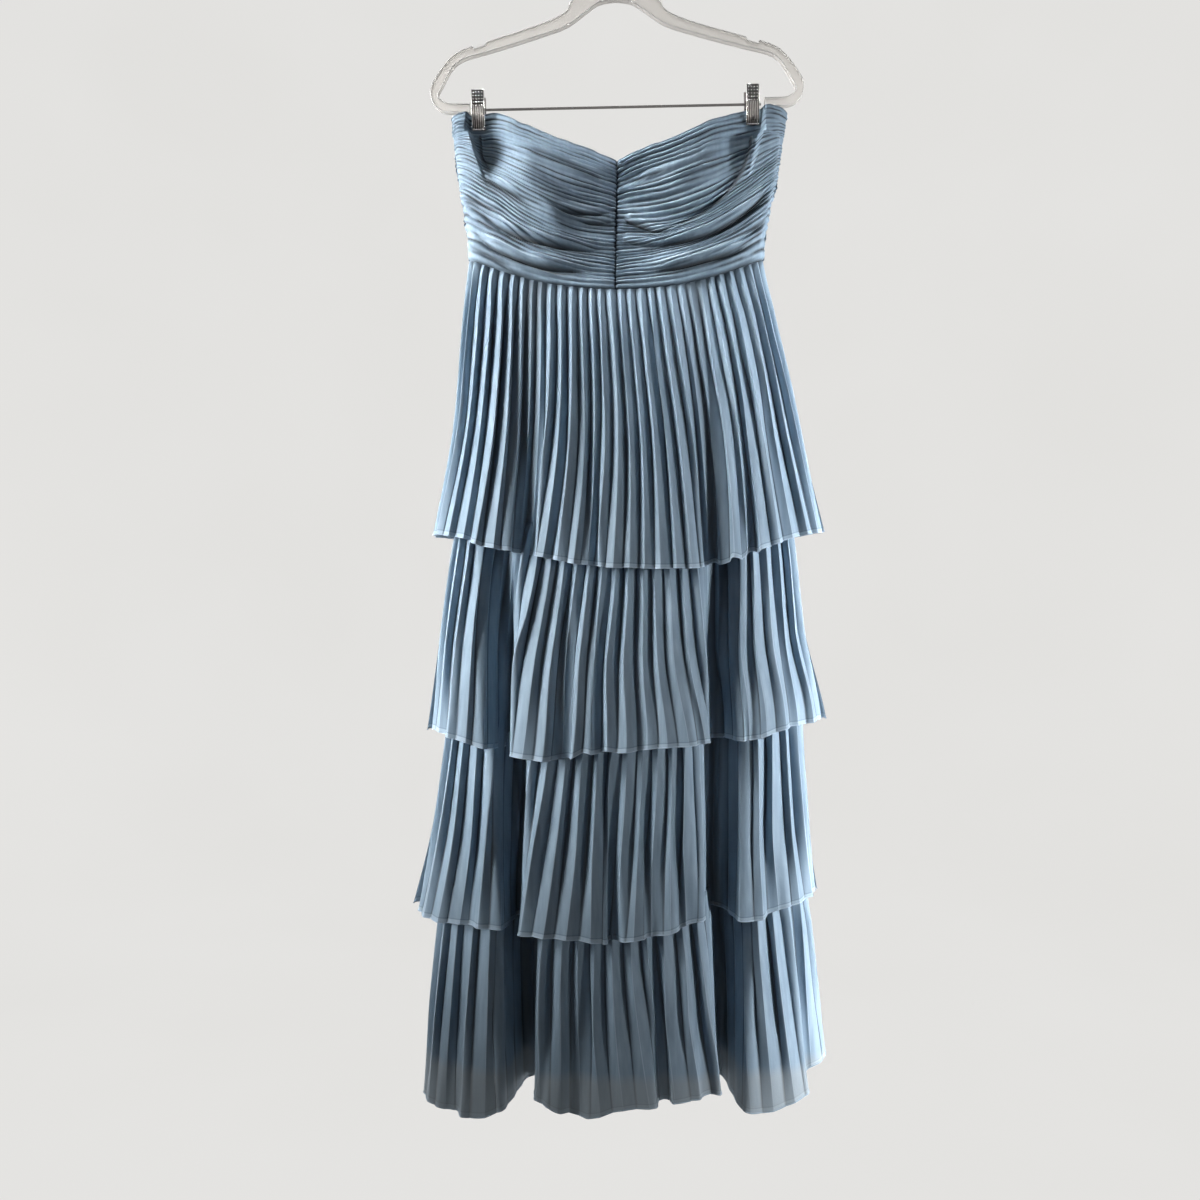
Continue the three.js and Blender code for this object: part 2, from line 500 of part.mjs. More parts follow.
// ---------------------------------------------------------------- assembly
const chiffon = () => new THREE.MeshStandardMaterial({ color: 0x7f9bb3, roughness: 0.85, metalness: 0 });
const liningCloth = () => new THREE.MeshStandardMaterial({ color: 0x5d7389, roughness: 0.7, metalness: 0 });
const clear = () => new THREE.MeshStandardMaterial({ color: 0xe9e4dc, roughness: 0.12, metalness: 0, transparent: true, opacity: 0.4 });
const chrome = () => new THREE.MeshStandardMaterial({ color: 0xc4c4c2, roughness: 0.16, metalness: 1 });

const dress = new THREE.Group();
const add = (group, name, geometry, material) => {
  const mesh = new THREE.Mesh(geometry, material);
  mesh.name = name;
  group.add(mesh);
  return mesh;
};

const cloth = new THREE.Group();
add(cloth, "bodice_front_right", bodicePanel(COLUMNS_RIGHT, -1, SWAGS, SWAG_DROOP), chiffon());
add(cloth, "bodice_front_left", bodicePanel(COLUMNS_LEFT, -1, SWAGS, SWAG_DROOP), chiffon());
add(cloth, "bodice_back", bodicePanel(COLUMNS_BACK, 1, BACK_SWAGS, 0), chiffon());
TIERS.forEach((tier, index) => {
  add(cloth, tier.name + "_front", pleatedPanel(tier, index, -1), chiffon());
  add(cloth, tier.name + "_back", pleatedPanel(tier, index, 1), chiffon());
});
add(cloth, "lining_front", liningPanel(-1), liningCloth());
add(cloth, "lining_back", liningPanel(1), liningCloth());
cloth.position.x = DRESS_X;
dress.add(cloth);

const hanger = new THREE.Group();
add(hanger, "hanger_frame", hangerFrame(), clear());
add(hanger, "hanger_hook", wire(hookPoints(), WIRE, 12, 46), chrome());
const bar = wire([[-BAR_HALF, BAR_Z], [0, BAR_Z], [BAR_HALF, BAR_Z]], BAR_R, 10, 2);
add(hanger, "hanger_bar", bar, chrome());
for (const side of ["left", "right"]) {
  const clip = new THREE.Group();
  clip.position.x = CLIP_X[side];
  add(clip, "clip_" + side + "_front_jaw", clipJaw(-1), chrome());
  add(clip, "clip_" + side + "_back_jaw", clipJaw(1), chrome());
  add(clip, "clip_" + side + "_spring", clipSpring().translate(0, 0, BAR_Z), chrome());
  hanger.add(clip);
}
hanger.rotation.y = (-HANGER_TILT * Math.PI) / 180;
dress.add(hanger);

export default dress;
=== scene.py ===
# Strapless tiered maxi dress of pleated chiffon on a clear clip hanger.
# Metres, +Z up, the front faces -Y, +X is the wearer's left. The origin is the inner top of the hanger's hook.
import math

import bpy
import numpy as np
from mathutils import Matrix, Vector


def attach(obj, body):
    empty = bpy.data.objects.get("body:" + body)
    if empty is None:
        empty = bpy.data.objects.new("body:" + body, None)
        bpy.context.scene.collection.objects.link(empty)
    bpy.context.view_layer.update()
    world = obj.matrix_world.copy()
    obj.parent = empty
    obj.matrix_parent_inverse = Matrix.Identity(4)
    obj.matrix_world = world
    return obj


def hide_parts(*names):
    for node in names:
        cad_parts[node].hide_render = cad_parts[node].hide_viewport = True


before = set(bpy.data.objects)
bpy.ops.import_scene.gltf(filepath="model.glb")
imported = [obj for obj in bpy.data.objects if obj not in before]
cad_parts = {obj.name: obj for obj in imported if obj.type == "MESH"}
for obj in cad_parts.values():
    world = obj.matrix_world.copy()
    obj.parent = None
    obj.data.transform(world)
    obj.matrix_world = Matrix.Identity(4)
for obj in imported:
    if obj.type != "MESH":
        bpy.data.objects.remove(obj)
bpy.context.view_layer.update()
MM = 0.001

# ---------------------------------------------------------------- camera (the photograph's view)
camera_data = bpy.data.cameras.new("camera")
camera_data.lens = 30
camera_data.sensor_width = 36
camera_data.clip_end = 30
camera = bpy.data.objects.new("camera", camera_data)
camera.location = (-0.0162, -1.2, -0.8184)
camera.rotation_euler = (math.pi / 2, 0, 0)
bpy.context.scene.collection.objects.link(camera)
bpy.context.scene.camera = camera

# ---------------------------------------------------------------- sizes, as in the solids (millimetres)
SEAM_GAP = 0.4
OVAL = 2.3
SAG_POWER = 2.2
DRESS_X = 4.2
GRIP_X = {"left": 162, "right": -165.6}
GRIP_FOOT = -257
CF_TOP = -304
WAIST = -455
LINING_HEM = -1352
BODICE_WALL = 1.8

RINGS = dict(
    level=[-240, -330, -455, -520, -620, -780, -880, -986, -1090, -1196, -1392],
    right=[-197, -188, -175, -176, -176, -184, -190, -193, -196, -201, -209],
    left=[202, 190, 173, 182, 193, 200, 202, 212, 212, 218, 228],
    front=[22, 33, 31, 35, 40, 46, 49, 52, 54, 56, 62],
    back=[12, 16, 18, 20, 23, 26, 28, 30, 31, 32, 36],
    lift=[0, 20, 42, 42, 42, 40, 30, 22, 20, 18, 8],
)
TIERS = [
    dict(name="tier_1", seam=-455.4, hem=-780, offFront=30, offRight=30, offLeft=40, offBack=21, inFold=17, open=7.0, spring=12, flare=1.5),
    dict(name="tier_2", seam=-740, hem=-986, offFront=32, offRight=35, offLeft=33, offBack=21, inFold=17, open=7.0, spring=34, flare=1.2),
    dict(name="tier_3", seam=-946, hem=-1196, offFront=30, offRight=31, offLeft=18, offBack=20, inFold=16, open=7.0, spring=34, flare=1.4),
    dict(name="tier_4", seam=-1156, hem=-1390, offFront=28, offRight=21, offLeft=21, offBack=15, inFold=12, open=6.5, spring=34, flare=1.1),
]
HEM_DROP = dict(
    share=[-1, -0.93, -0.78, -0.6, -0.45, -0.2, 0, 0.22, 0.42, 0.7, 0.87, 1],
    t0=[1, 1, 2, -1, -4, 0, 0, 4, 5, 4, 2, -2],
    t1=[8, 9, 14, 17, 17, 3, 2, -4, -2, 1, -7, -5],
    t2=[6, 6, 6, 5, 5, 6, 2, -6, -14, -4, -11, -16],
    t3=[18, 19, 19, 3, -7, 2, -10, -12, -15, 9, -1, -26],
)
FRONT_PLEATS, BACK_PLEATS = 32, 28
SEAM_OFF, PUFF = 3.3, 3.6
# The long folds between the three lobes of the skirt's front, one row a side and tier: x and depth at the seam and at
# the hem, the floor's half width, the reach, and how far the lobe on +x and the lobe on -x lap over the mouth at the hem.
TIER_FOLDS = {
    0: [(-96, -101, 0, 8, 6, 24, 13, 2), (92, 106, 0, 6, 5, 22, 2, 8)],
    1: [(-136, -127, 18, 32, 6, 24, 15, 5), (118, 115, 17, 32, 9, 26, 3, 12)],
    2: [(-123, -116, 38, 43, 6, 24, 17, 14), (119, 119, 36, 40, 9, 29, 12, 2)],
    3: [(-113, -108, 47, 58, 7, 24, 8, 6), (126, 127, 45, 54, 6, 24, 12, 8)],
}
# Smaller folds: tier, face, x at the seam, x at the hem, depth at the hem, reach, laps at the hem as above
SHORT_FOLDS = [
    (0, -1, -62, -66, 5, 16, 0, 0), (0, -1, -34, -26, 7, 13, 7, 0), (0, -1, 138, 148, 9, 15, 5, 0), (0, -1, 20, 26, 3, 18, 0, 3),
    (0, -1, -150, -166, 6, 16, 4, 0), (0, -1, 168, 186, 7, 14, 3, 0),
    (1, -1, -56, -60, 12, 13, 6, 0), (1, -1, 182, 196, 10, 14, 4, 0), (1, -1, -22, -20, 7, 11, 0, 4), (1, -1, 24, 26, 5, 12, 0, 0),
    (1, -1, 76, 84, 6, 14, 0, 4), (1, -1, -176, -190, 7, 14, 4, 0), (1, -1, 146, 150, 8, 12, 4, 0),
    (2, -1, -10, -7, 15, 13, 3, 5), (2, -1, 30, 37, 8, 12, 0, 4), (2, -1, 60, 74, 6, 14, 0, 2), (2, -1, -160, -170, 7, 15, 3, 0),
    (2, -1, 168, 178, 9, 14, 5, 0),
    (3, -1, 40, 48, 17, 13, 2, 6), (3, -1, -40, -44, 9, 16, 3, 0), (3, -1, -74, -80, 6, 12, 3, 0), (3, -1, -170, -180, 7, 15, 4, 0),
    (3, -1, 200, 213, 18, 13, 2, 5), (3, -1, 88, 92, 5, 12, 0, 3),
    (0, 1, -60, -72, 5, 20, 3, 0), (0, 1, 70, 84, 6, 20, 0, 4), (0, 1, -130, -150, 7, 18, 4, 0), (0, 1, 8, 12, 4, 16, 0, 3),
    (1, 1, 20, 26, 8, 22, 4, 0), (1, 1, -120, -128, 7, 20, 0, 4), (1, 1, 120, 132, 8, 18, 5, 0), (1, 1, -50, -56, 5, 14, 3, 0),
    (2, 1, -40, -48, 5, 24, 4, 0), (2, 1, 110, 122, 7, 20, 0, 4), (2, 1, 40, 46, 6, 15, 3, 0), (2, 1, -140, -152, 8, 18, 4, 2),
    (3, 1, -96, -106, 7, 20, 5, 0), (3, 1, 52, 60, 6, 22, 0, 4), (3, 1, -20, -26, 5, 15, 3, 0), (3, 1, 140, 152, 8, 18, 4, 3),
]
# how much each tier's lobes turn in towards those folds
ROUND = [6, 11, 9, 6]
# where the lining hangs behind the tiers, by level
LINING_LINE = dict(
    level=[-455, -520, -640, -780, -986, -1196, -1352],
    back_off=[1, 4, 14, 26, 27, 27, 27],
    dip=[0, 0, 0, 2, 10, 20, 26],
    rightX=[-96, -98, -104, -132, -122, -113, -109],
    leftX=[92, 95, 104, 116, 117, 123, 126],
)
NECKLINE = dict(
    x=[0, 25, 72, 115, 150, 165, 176, 192, 204],
    right=[CF_TOP, -294, -277, -256, -236, -239, -239, -241, -247],
    left=[CF_TOP, -293, -274, -252, -234, -232, -231, -232, -237],
)
BACK_NECK_DIP = 76


# ---------------------------------------------------------------- helpers
def clamp(v, a, b):
    return np.minimum(b, np.maximum(a, v))


def mix(a, b, t):
    return a + (b - a) * t


def smooth(t):
    t = clamp(t, 0, 1)
    return t * t * (3 - 2 * t)


def hump(d, flat, reach):
    return smooth((reach - np.abs(d)) / (reach - flat))


def curve(xs, ys):
    """A smooth curve through rows of a table, without overshoot."""
    x, y = np.array(xs, float), np.array(ys, float)
    if x[-1] < x[0]:
        x, y = x[::-1], y[::-1]
    h, d = np.diff(x), np.diff(y) / np.diff(x)
    m = np.zeros(len(x))
    m[0], m[-1] = d[0], d[-1]
    for k in range(1, len(x) - 1):
        m[k] = 0 if d[k - 1] * d[k] <= 0 else 2 * d[k - 1] * d[k] / (d[k - 1] + d[k])

    def f(v):
        v = clamp(np.asarray(v, float), x[0], x[-1])
        i = clamp(np.searchsorted(x, v, side="right") - 1, 0, len(x) - 2).astype(int)
        t = (v - x[i]) / h[i]
        t2, t3 = t * t, t * t * t
        return (2 * t3 - 3 * t2 + 1) * y[i] + (t3 - 2 * t2 + t) * h[i] * m[i] + (3 * t2 - 2 * t3) * y[i + 1] + (t3 - t2) * h[i] * m[i + 1]

    return f


def columns_of(table, key):
    return {k: curve(table[key], v) for k, v in table.items() if k != key}


RING, DROP, NECK, LINED = (columns_of(t, k) for t, k in ((RINGS, "level"), (HEM_DROP, "share"), (NECKLINE, "x"), (LINING_LINE, "level")))


def noise(seed, n, knots, spread):
    """Smooth seeded noise over n places, with the given number of knots."""
    rng = np.random.RandomState(seed)
    return curve(np.linspace(0, 1, knots), rng.uniform(-spread, spread, knots))(np.linspace(0, 1, n))


def noise2(seed, rows, cols, kr, kc, spread):
    rng = np.random.RandomState(seed)
    grid = rng.uniform(-spread, spread, (kr, kc))
    across = np.array([curve(np.linspace(0, 1, kc), g)(np.linspace(0, 1, cols)) for g in grid])
    return np.array([curve(np.linspace(0, 1, kr), across[:, c])(np.linspace(0, 1, rows)) for c in range(cols)]).T


def mesh_object(name, points, faces, material, smooth_shade=True):
    mesh = bpy.data.meshes.new(name)
    mesh.from_pydata([tuple(p) for p in points], [], [tuple(f) for f in faces])
    mesh.update()
    if smooth_shade:
        mesh.polygons.foreach_set("use_smooth", [True] * len(mesh.polygons))
    mesh.materials.append(material)
    ob = bpy.data.objects.new(name, mesh)
    bpy.context.scene.collection.objects.link(ob)
    return ob


def grid_object(name, grid, material, uv=None, closed=False):
    """A sheet from a rows x cols x 3 array of metres."""
    rows, cols = grid.shape[:2]
    r, c = np.meshgrid(np.arange(rows - 1), np.arange(cols - (0 if closed else 1)), indexing="ij")
    a = (r * cols + c).ravel()
    b = (r * cols + (c + 1) % cols).ravel()
    faces = np.stack([a, b, b + cols, a + cols], 1)
    ob = mesh_object(name, grid.reshape(-1, 3), faces.tolist(), material)
    if uv is not None:
        layer = ob.data.uv_layers.new(name="cloth")
        flat = uv.reshape(-1, 2)
        loops = np.zeros(len(ob.data.loops), int)
        ob.data.loops.foreach_get("vertex_index", loops)
        layer.data.foreach_set("uv", flat[loops].ravel())
    return ob


def mesh_values(ob, **values):
    """Gives each point of a mesh named numbers that its material reads."""
    for key, v in values.items():
        layer = ob.data.attributes.new(key, "FLOAT", "POINT")
        layer.data.foreach_set("value", np.asarray(v, np.float32).ravel())


def bead(path, radius, sides=6):
    """Points and faces of a round bead along a list of points (metres)."""
    path = np.asarray(path, float)
    n = len(path)
    tangent = np.gradient(path, axis=0)
    tangent /= np.linalg.norm(tangent, axis=1)[:, None] + 1e-12
    up = np.tile([0.0, 0.0, 1.0], (n, 1))
    flat = np.abs((tangent * up).sum(1)) > 0.95
    up[flat] = [0.0, 1.0, 0.0]
    a = np.cross(tangent, up)
    a /= np.linalg.norm(a, axis=1)[:, None] + 1e-12
    b = np.cross(tangent, a)
    angles = np.linspace(0, 2 * math.pi, sides, endpoint=False)
    rad = np.broadcast_to(np.asarray(radius, float), (n,))[:, None, None]
    ring = path[:, None, :] + rad * (np.cos(angles)[None, :, None] * a[:, None, :] + np.sin(angles)[None, :, None] * b[:, None, :])
    points = ring.reshape(-1, 3)
    faces = []
    for k in range(n - 1):
        for s in range(sides):
            t = (s + 1) % sides
            faces.append((k * sides + s, k * sides + t, (k + 1) * sides + t, (k + 1) * sides + s))
    faces.append(tuple(range(sides)))
    faces.append(tuple((n - 1) * sides + s for s in reversed(range(sides))))
    return points, faces


def tube(name, path, radius, material, sides=6):
    points, faces = bead(path, radius, sides)
    ob = mesh_object(name, points, faces, material)
    mesh_values(ob, fold=np.full(len(points), 0.5), hem=np.full(len(points), 1.0))
    return ob


def joined(name, bits, material, smooth_shade=True):
    """One mesh from several lists of points and faces."""
    points, faces, start = [], [], 0
    for some_points, some_faces in bits:
        points.extend(map(tuple, some_points))
        faces.extend(tuple(start + k for k in f) for f in some_faces)
        start += len(some_points)
    return mesh_object(name, points, faces, material, smooth_shade)


# ---------------------------------------------------------------- materials
def new_material(name):
    m = bpy.data.materials.new(name)
    m.use_nodes = True
    nt = m.node_tree
    return m, nt, nt.nodes["Principled BSDF"], nt.nodes["Material Output"]


def node(nt, kind, **inputs):
    n = nt.nodes.new(kind)
    for k, v in inputs.items():
        key = k.replace("_", " ")
        if key in n.inputs:
            n.inputs[key].default_value = v
        else:
            setattr(n, k, v)
    return n


def chiffon(name, light, dark, through, seed, weave=0.35, sheer_below=None, valley=0.88, valley_from=0.15, deep=0.22):
    """Sheer woven cloth: slow drifts of colour, a fine crepe weave in the bump, a soft sheen, light passing through, a
    painted highlight along each crest and painted shade in the valleys, and, below sheer_below, a painted paleness. The
    meshes carry two values: "fold", from 0 in a valley to 1 on a crest (on the bodice a painted shade map), and "hem",
    the height above the hem in metres."""
    m, nt, p, out = new_material(name)
    L = nt.links.new
    coords = node(nt, "ShaderNodeTexCoord")
    drift = node(nt, "ShaderNodeTexNoise", Scale=9.0, Detail=3.0, Roughness=0.55)
    streak_map = node(nt, "ShaderNodeMapping")
    streak_map.inputs["Scale"].default_value = (60.0, 60.0, 5.0)
    streak_map.inputs["Location"].default_value = (seed * 1.7, seed * 0.9, 0)
    streak = node(nt, "ShaderNodeTexNoise", Scale=3.0, Detail=2.0, Roughness=0.5)
    L(coords.outputs["Object"], drift.inputs["Vector"])
    L(coords.outputs["Object"], streak_map.inputs["Vector"])
    L(streak_map.outputs["Vector"], streak.inputs["Vector"])
    both = node(nt, "ShaderNodeMath", operation="ADD")
    half = node(nt, "ShaderNodeMath", operation="MULTIPLY")
    half.inputs[1].default_value = 0.5
    L(drift.outputs["Fac"], both.inputs[0])
    L(streak.outputs["Fac"], both.inputs[1])
    L(both.outputs[0], half.inputs[0])
    ramp = node(nt, "ShaderNodeValToRGB")
    ramp.color_ramp.elements[0].position, ramp.color_ramp.elements[0].color = 0.36, (*dark, 1)
    ramp.color_ramp.elements[1].position, ramp.color_ramp.elements[1].color = 0.64, (*light, 1)
    L(half.outputs[0], ramp.inputs["Fac"])

    def blend_colour(colour, factor, target):
        n = node(nt, "ShaderNodeMix", data_type="RGBA")
        L(factor, n.inputs["Factor"])
        L(colour, n.inputs[6])
        n.inputs[7].default_value = (*target, 1)
        return n.outputs[2]

    def window(value, low, high, top):
        n = node(nt, "ShaderNodeMapRange")
        n.clamp = True
        n.inputs["From Min"].default_value, n.inputs["From Max"].default_value = low, high
        n.inputs["To Min"].default_value, n.inputs["To Max"].default_value = 0.0, top
        L(value, n.inputs["Value"])
        return n.outputs["Result"]

    fold = node(nt, "ShaderNodeAttribute", attribute_name="fold")
    hem = node(nt, "ShaderNodeAttribute", attribute_name="hem")
    colour = ramp.outputs["Color"]
    # painted highlight along each pressed crest, and painted shade in the valleys, both read from "fold"
    colour = blend_colour(colour, window(fold.outputs["Fac"], 0.94, 1.0, 0.62), (0.50, 0.63, 0.76))
    colour = blend_colour(colour, window(fold.outputs["Fac"], valley_from, 0.0, valley), tuple(c * deep for c in dark))
    # the turned hem: doubled cloth, then its line of stitches
    colour = blend_colour(colour, window(hem.outputs["Fac"], 0.0046, 0.0040, 0.3), (0.52, 0.64, 0.75))
    line = node(nt, "ShaderNodeMath", operation="MULTIPLY")
    L(window(hem.outputs["Fac"], 0.0040, 0.0044, 1.0), line.inputs[0])
    L(window(hem.outputs["Fac"], 0.0056, 0.0052, 0.35), line.inputs[1])
    colour = blend_colour(colour, line.outputs[0], tuple(c * 0.4 for c in dark))
    if sheer_below is not None:
        # under the lining's hem only one layer hangs: painted paleness there, for the light that shows through the
        # single layer
        place = node(nt, "ShaderNodeSeparateXYZ")
        L(coords.outputs["Object"], place.inputs["Vector"])
        colour = blend_colour(colour, window(place.outputs["Z"], sheer_below + 0.006, sheer_below - 0.006, 0.5), (0.34, 0.37, 0.385))
    L(colour, p.inputs["Base Color"])
    # crepe weave: two scales of fine grain
    grain = node(nt, "ShaderNodeTexNoise", Scale=1500.0, Detail=2.0, Roughness=0.6)
    slub = node(nt, "ShaderNodeTexNoise", Scale=320.0, Detail=2.0, Roughness=0.6)
    L(coords.outputs["Object"], grain.inputs["Vector"])
    L(coords.outputs["Object"], slub.inputs["Vector"])
    add = node(nt, "ShaderNodeMath", operation="ADD")
    L(grain.outputs["Fac"], add.inputs[0])
    L(slub.outputs["Fac"], add.inputs[1])
    bump = node(nt, "ShaderNodeBump", Strength=weave, Distance=0.0003)
    L(add.outputs[0], bump.inputs["Height"])
    L(bump.outputs["Normal"], p.inputs["Normal"])
    rough = node(nt, "ShaderNodeMapRange")
    rough.inputs["To Min"].default_value, rough.inputs["To Max"].default_value = 0.5, 0.72
    L(slub.outputs["Fac"], rough.inputs["Value"])
    L(rough.outputs["Result"], p.inputs["Roughness"])
    p.inputs["Sheen Weight"].default_value = 0.16
    p.inputs["Sheen Roughness"].default_value = 0.4
    p.inputs["Sheen Tint"].default_value = (0.9, 0.95, 1.0, 1)
    p.inputs["Specular IOR Level"].default_value = 0.28
    if through > 0:
        t = node(nt, "ShaderNodeBsdfTranslucent")
        L(colour, t.inputs["Color"])
        L(bump.outputs["Normal"], t.inputs["Normal"])
        blend = node(nt, "ShaderNodeMixShader")
        blend.inputs["Fac"].default_value = through
        L(p.outputs["BSDF"], blend.inputs[1])
        L(t.outputs["BSDF"], blend.inputs[2])
        L(blend.outputs["Shader"], out.inputs["Surface"])
    return m


BLUE_LIGHT, BLUE_DARK = (0.275, 0.375, 0.475), (0.20, 0.285, 0.37)
cloth_skirt = chiffon("pleated_chiffon", BLUE_LIGHT, BLUE_DARK, 0.16, 1)
cloth_low = chiffon("pleated_chiffon_over_bare_hem", BLUE_LIGHT, BLUE_DARK, 0.16, 5, sheer_below=LINING_HEM * MM)
# the bodice's material paints its "fold" values as shade, almost to black
cloth_bodice = chiffon("draped_chiffon", tuple(c * 0.93 for c in BLUE_LIGHT), tuple(c * 0.93 for c in BLUE_DARK), 0.1, 2, valley=0.98, valley_from=0.76, deep=0.07)
cloth_edge = chiffon("rolled_hem", (0.47, 0.58, 0.69), (0.38, 0.49, 0.60), 0.15, 3)
cloth_lining = chiffon("lining_cloth", (0.08, 0.115, 0.16), (0.055, 0.08, 0.12), 0.04, 4, weave=0.2)


def metal(name, colour, rough_low, rough_high):
    m, nt, p, out = new_material(name)
    L = nt.links.new
    coords = node(nt, "ShaderNodeTexCoord")
    wear = node(nt, "ShaderNodeTexNoise", Scale=260.0, Detail=4.0, Roughness=0.6)
    L(coords.outputs["Object"], wear.inputs["Vector"])
    r = node(nt, "ShaderNodeMapRange")
    r.inputs["To Min"].default_value, r.inputs["To Max"].default_value = rough_low, rough_high
    L(wear.outputs["Fac"], r.inputs["Value"])
    L(r.outputs["Result"], p.inputs["Roughness"])
    ramp = node(nt, "ShaderNodeValToRGB")
    ramp.color_ramp.elements[0].color = (*[c * 0.82 for c in colour], 1)
    ramp.color_ramp.elements[1].color = (*colour, 1)
    L(wear.outputs["Fac"], ramp.inputs["Fac"])
    L(ramp.outputs["Color"], p.inputs["Base Color"])
    bump = node(nt, "ShaderNodeBump", Strength=0.08, Distance=0.0002)
    L(wear.outputs["Fac"], bump.inputs["Height"])
    L(bump.outputs["Normal"], p.inputs["Normal"])
    p.inputs["Metallic"].default_value = 1.0
    return m


chrome = metal("chrome_plate", (0.72, 0.72, 0.71), 0.12, 0.26)
steel = metal("dark_plated_steel", (0.33, 0.31, 0.305), 0.2, 0.34)
dull_steel = metal("clip_ribs_steel", (0.2, 0.19, 0.185), 0.22, 0.36)
recess = metal("clip_recess", (0.03, 0.028, 0.028), 0.4, 0.55)


def clear_plastic():
    m, nt, p, out = new_material("clear_plastic")
    L = nt.links.new
    coords = node(nt, "ShaderNodeTexCoord")
    n = node(nt, "ShaderNodeTexNoise", Scale=45.0, Detail=3.0, Roughness=0.5)
    L(coords.outputs["Object"], n.inputs["Vector"])
    ramp = node(nt, "ShaderNodeValToRGB")
    ramp.color_ramp.elements[0].color = (0.90, 0.875, 0.845, 1)
    ramp.color_ramp.elements[1].color = (0.95, 0.93, 0.905, 1)
    L(n.outputs["Fac"], ramp.inputs["Fac"])
    L(ramp.outputs["Color"], p.inputs["Base Color"])
    r = node(nt, "ShaderNodeMapRange")
    r.inputs["To Min"].default_value, r.inputs["To Max"].default_value = 0.28, 0.42
    L(n.outputs["Fac"], r.inputs["Value"])
    L(r.outputs["Result"], p.inputs["Roughness"])
    bump = node(nt, "ShaderNodeBump", Strength=0.1, Distance=0.0006)
    L(n.outputs["Fac"], bump.inputs["Height"])
    L(bump.outputs["Normal"], p.inputs["Normal"])
    p.inputs["IOR"].default_value = 1.12
    p.inputs["Transmission Weight"].default_value = 0.7
    return m


def bright_edge():
    """White beads along the rounded edge of the clear frame: a painted highlight where the clear plastic gathers light.
    """
    m, nt, p, out = new_material("clear_plastic_edge")
    L = nt.links.new
    coords = node(nt, "ShaderNodeTexCoord")
    n = node(nt, "ShaderNodeTexNoise", Scale=60.0, Detail=2.0, Roughness=0.5)
    L(coords.outputs["Object"], n.inputs["Vector"])
    ramp = node(nt, "ShaderNodeValToRGB")
    ramp.color_ramp.elements[0].color = (0.93, 0.925, 0.91, 1)
    ramp.color_ramp.elements[1].color = (0.99, 0.99, 0.985, 1)
    L(n.outputs["Fac"], ramp.inputs["Fac"])
    L(ramp.outputs["Color"], p.inputs["Base Color"])
    p.inputs["Roughness"].default_value = 0.22
    t = node(nt, "ShaderNodeBsdfTranslucent")
    L(ramp.outputs["Color"], t.inputs["Color"])
    blend = node(nt, "ShaderNodeMixShader")
    blend.inputs["Fac"].default_value = 0.4
    L(p.outputs["BSDF"], blend.inputs[1])
    L(t.outputs["BSDF"], blend.inputs[2])
    L(blend.outputs["Shader"], out.inputs["Surface"])
    return m


plastic, plastic_edge = clear_plastic(), bright_edge()


# ---------------------------------------------------------------- the common ring
def ring(level, angle, face):
    right, left, lift = float(RING["right"](level)), float(RING["left"](level)), float(RING["lift"](level))
    deep = float(RING["front" if face < 0 else "back"](level))
    middle, half = (right + left) / 2, (left - right) / 2
    c, s = -np.cos(angle), np.sin(angle)
    e = np.sign(c) * np.abs(c) ** (2 / OVAL)
    f = np.abs(s) ** (2 / OVAL)
    nx, ny = np.sign(c) * np.abs(e) ** (OVAL - 1) / half, face * f ** (OVAL - 1) / deep
    n = np.hypot(nx, ny) + 1e-12
    return dict(x=middle + half * e, y=face * deep * f, z=level + lift * np.abs(e) ** SAG_POWER, nx=nx / n, ny=ny / n, share=e)


def hem_drop(index, face, share):
    if face > 0:
        return DROP[f"t{index}"](np.sign(share)) * share * share
    return DROP[f"t{index}"](share)


DENSE = 1200


def layer_line(level, face, folds, off, lower=None):
    """One layer's line round the front or back at a level. folds: centre, depth, floor, reach, the two laps, long or not."""
    p = ring(level, np.linspace(0, math.pi, DENSE + 1), face)
    dip, mask, shift = np.zeros(DENSE + 1), np.zeros(DENSE + 1), np.zeros(DENSE + 1)
    for at, deep, flat, reach, lap_plus, lap_minus, is_long in folds:
        d = p["x"] - at
        m = hump(d, flat, reach)
        dip = dip + m * deep
        if is_long:
            mask = np.maximum(mask, m)
        a = np.abs(d)
        lip = np.where(a < reach, smooth((a - flat) / (reach - flat)), smooth((reach + 55 - a) / 55))
        shift = shift + np.where(d > 0, -lap_plus, lap_minus) * lip
    d = off(p, mask) - dip
    x, y = p["x"] + p["nx"] * d + shift, p["y"] + p["ny"] * d + face * SEAM_GAP * 0.5
    z = p["z"] - (lower(p) if lower else 0)
    run = np.concatenate([[0], np.cumsum(np.hypot(np.diff(x), np.diff(y)))])
    k = 14
    tx, ty = p["nx"].copy(), p["ny"].copy()
    ux, uy = x[2 * k:] - x[:-2 * k], y[2 * k:] - y[:-2 * k]
    l = np.hypot(ux, uy) + 1e-9
    # the normal turns with the line, so the pleats follow it round the folds
    tx[k:-k], ty[k:-k] = -face * uy / l, face * ux / l
    wall = 1 - np.abs(tx * p["nx"] + ty * p["ny"])
    return dict(x=x, y=y, z=z, nx=tx, ny=ty, mask=mask, wall=wall, run=run, across=p["x"], share=p["share"])


def along(line, share):
    want = share * line["run"][-1]
    return {k: np.interp(want, line["run"], line[k]) for k in ("x", "y", "z", "nx", "ny", "mask", "wall", "across", "share")}


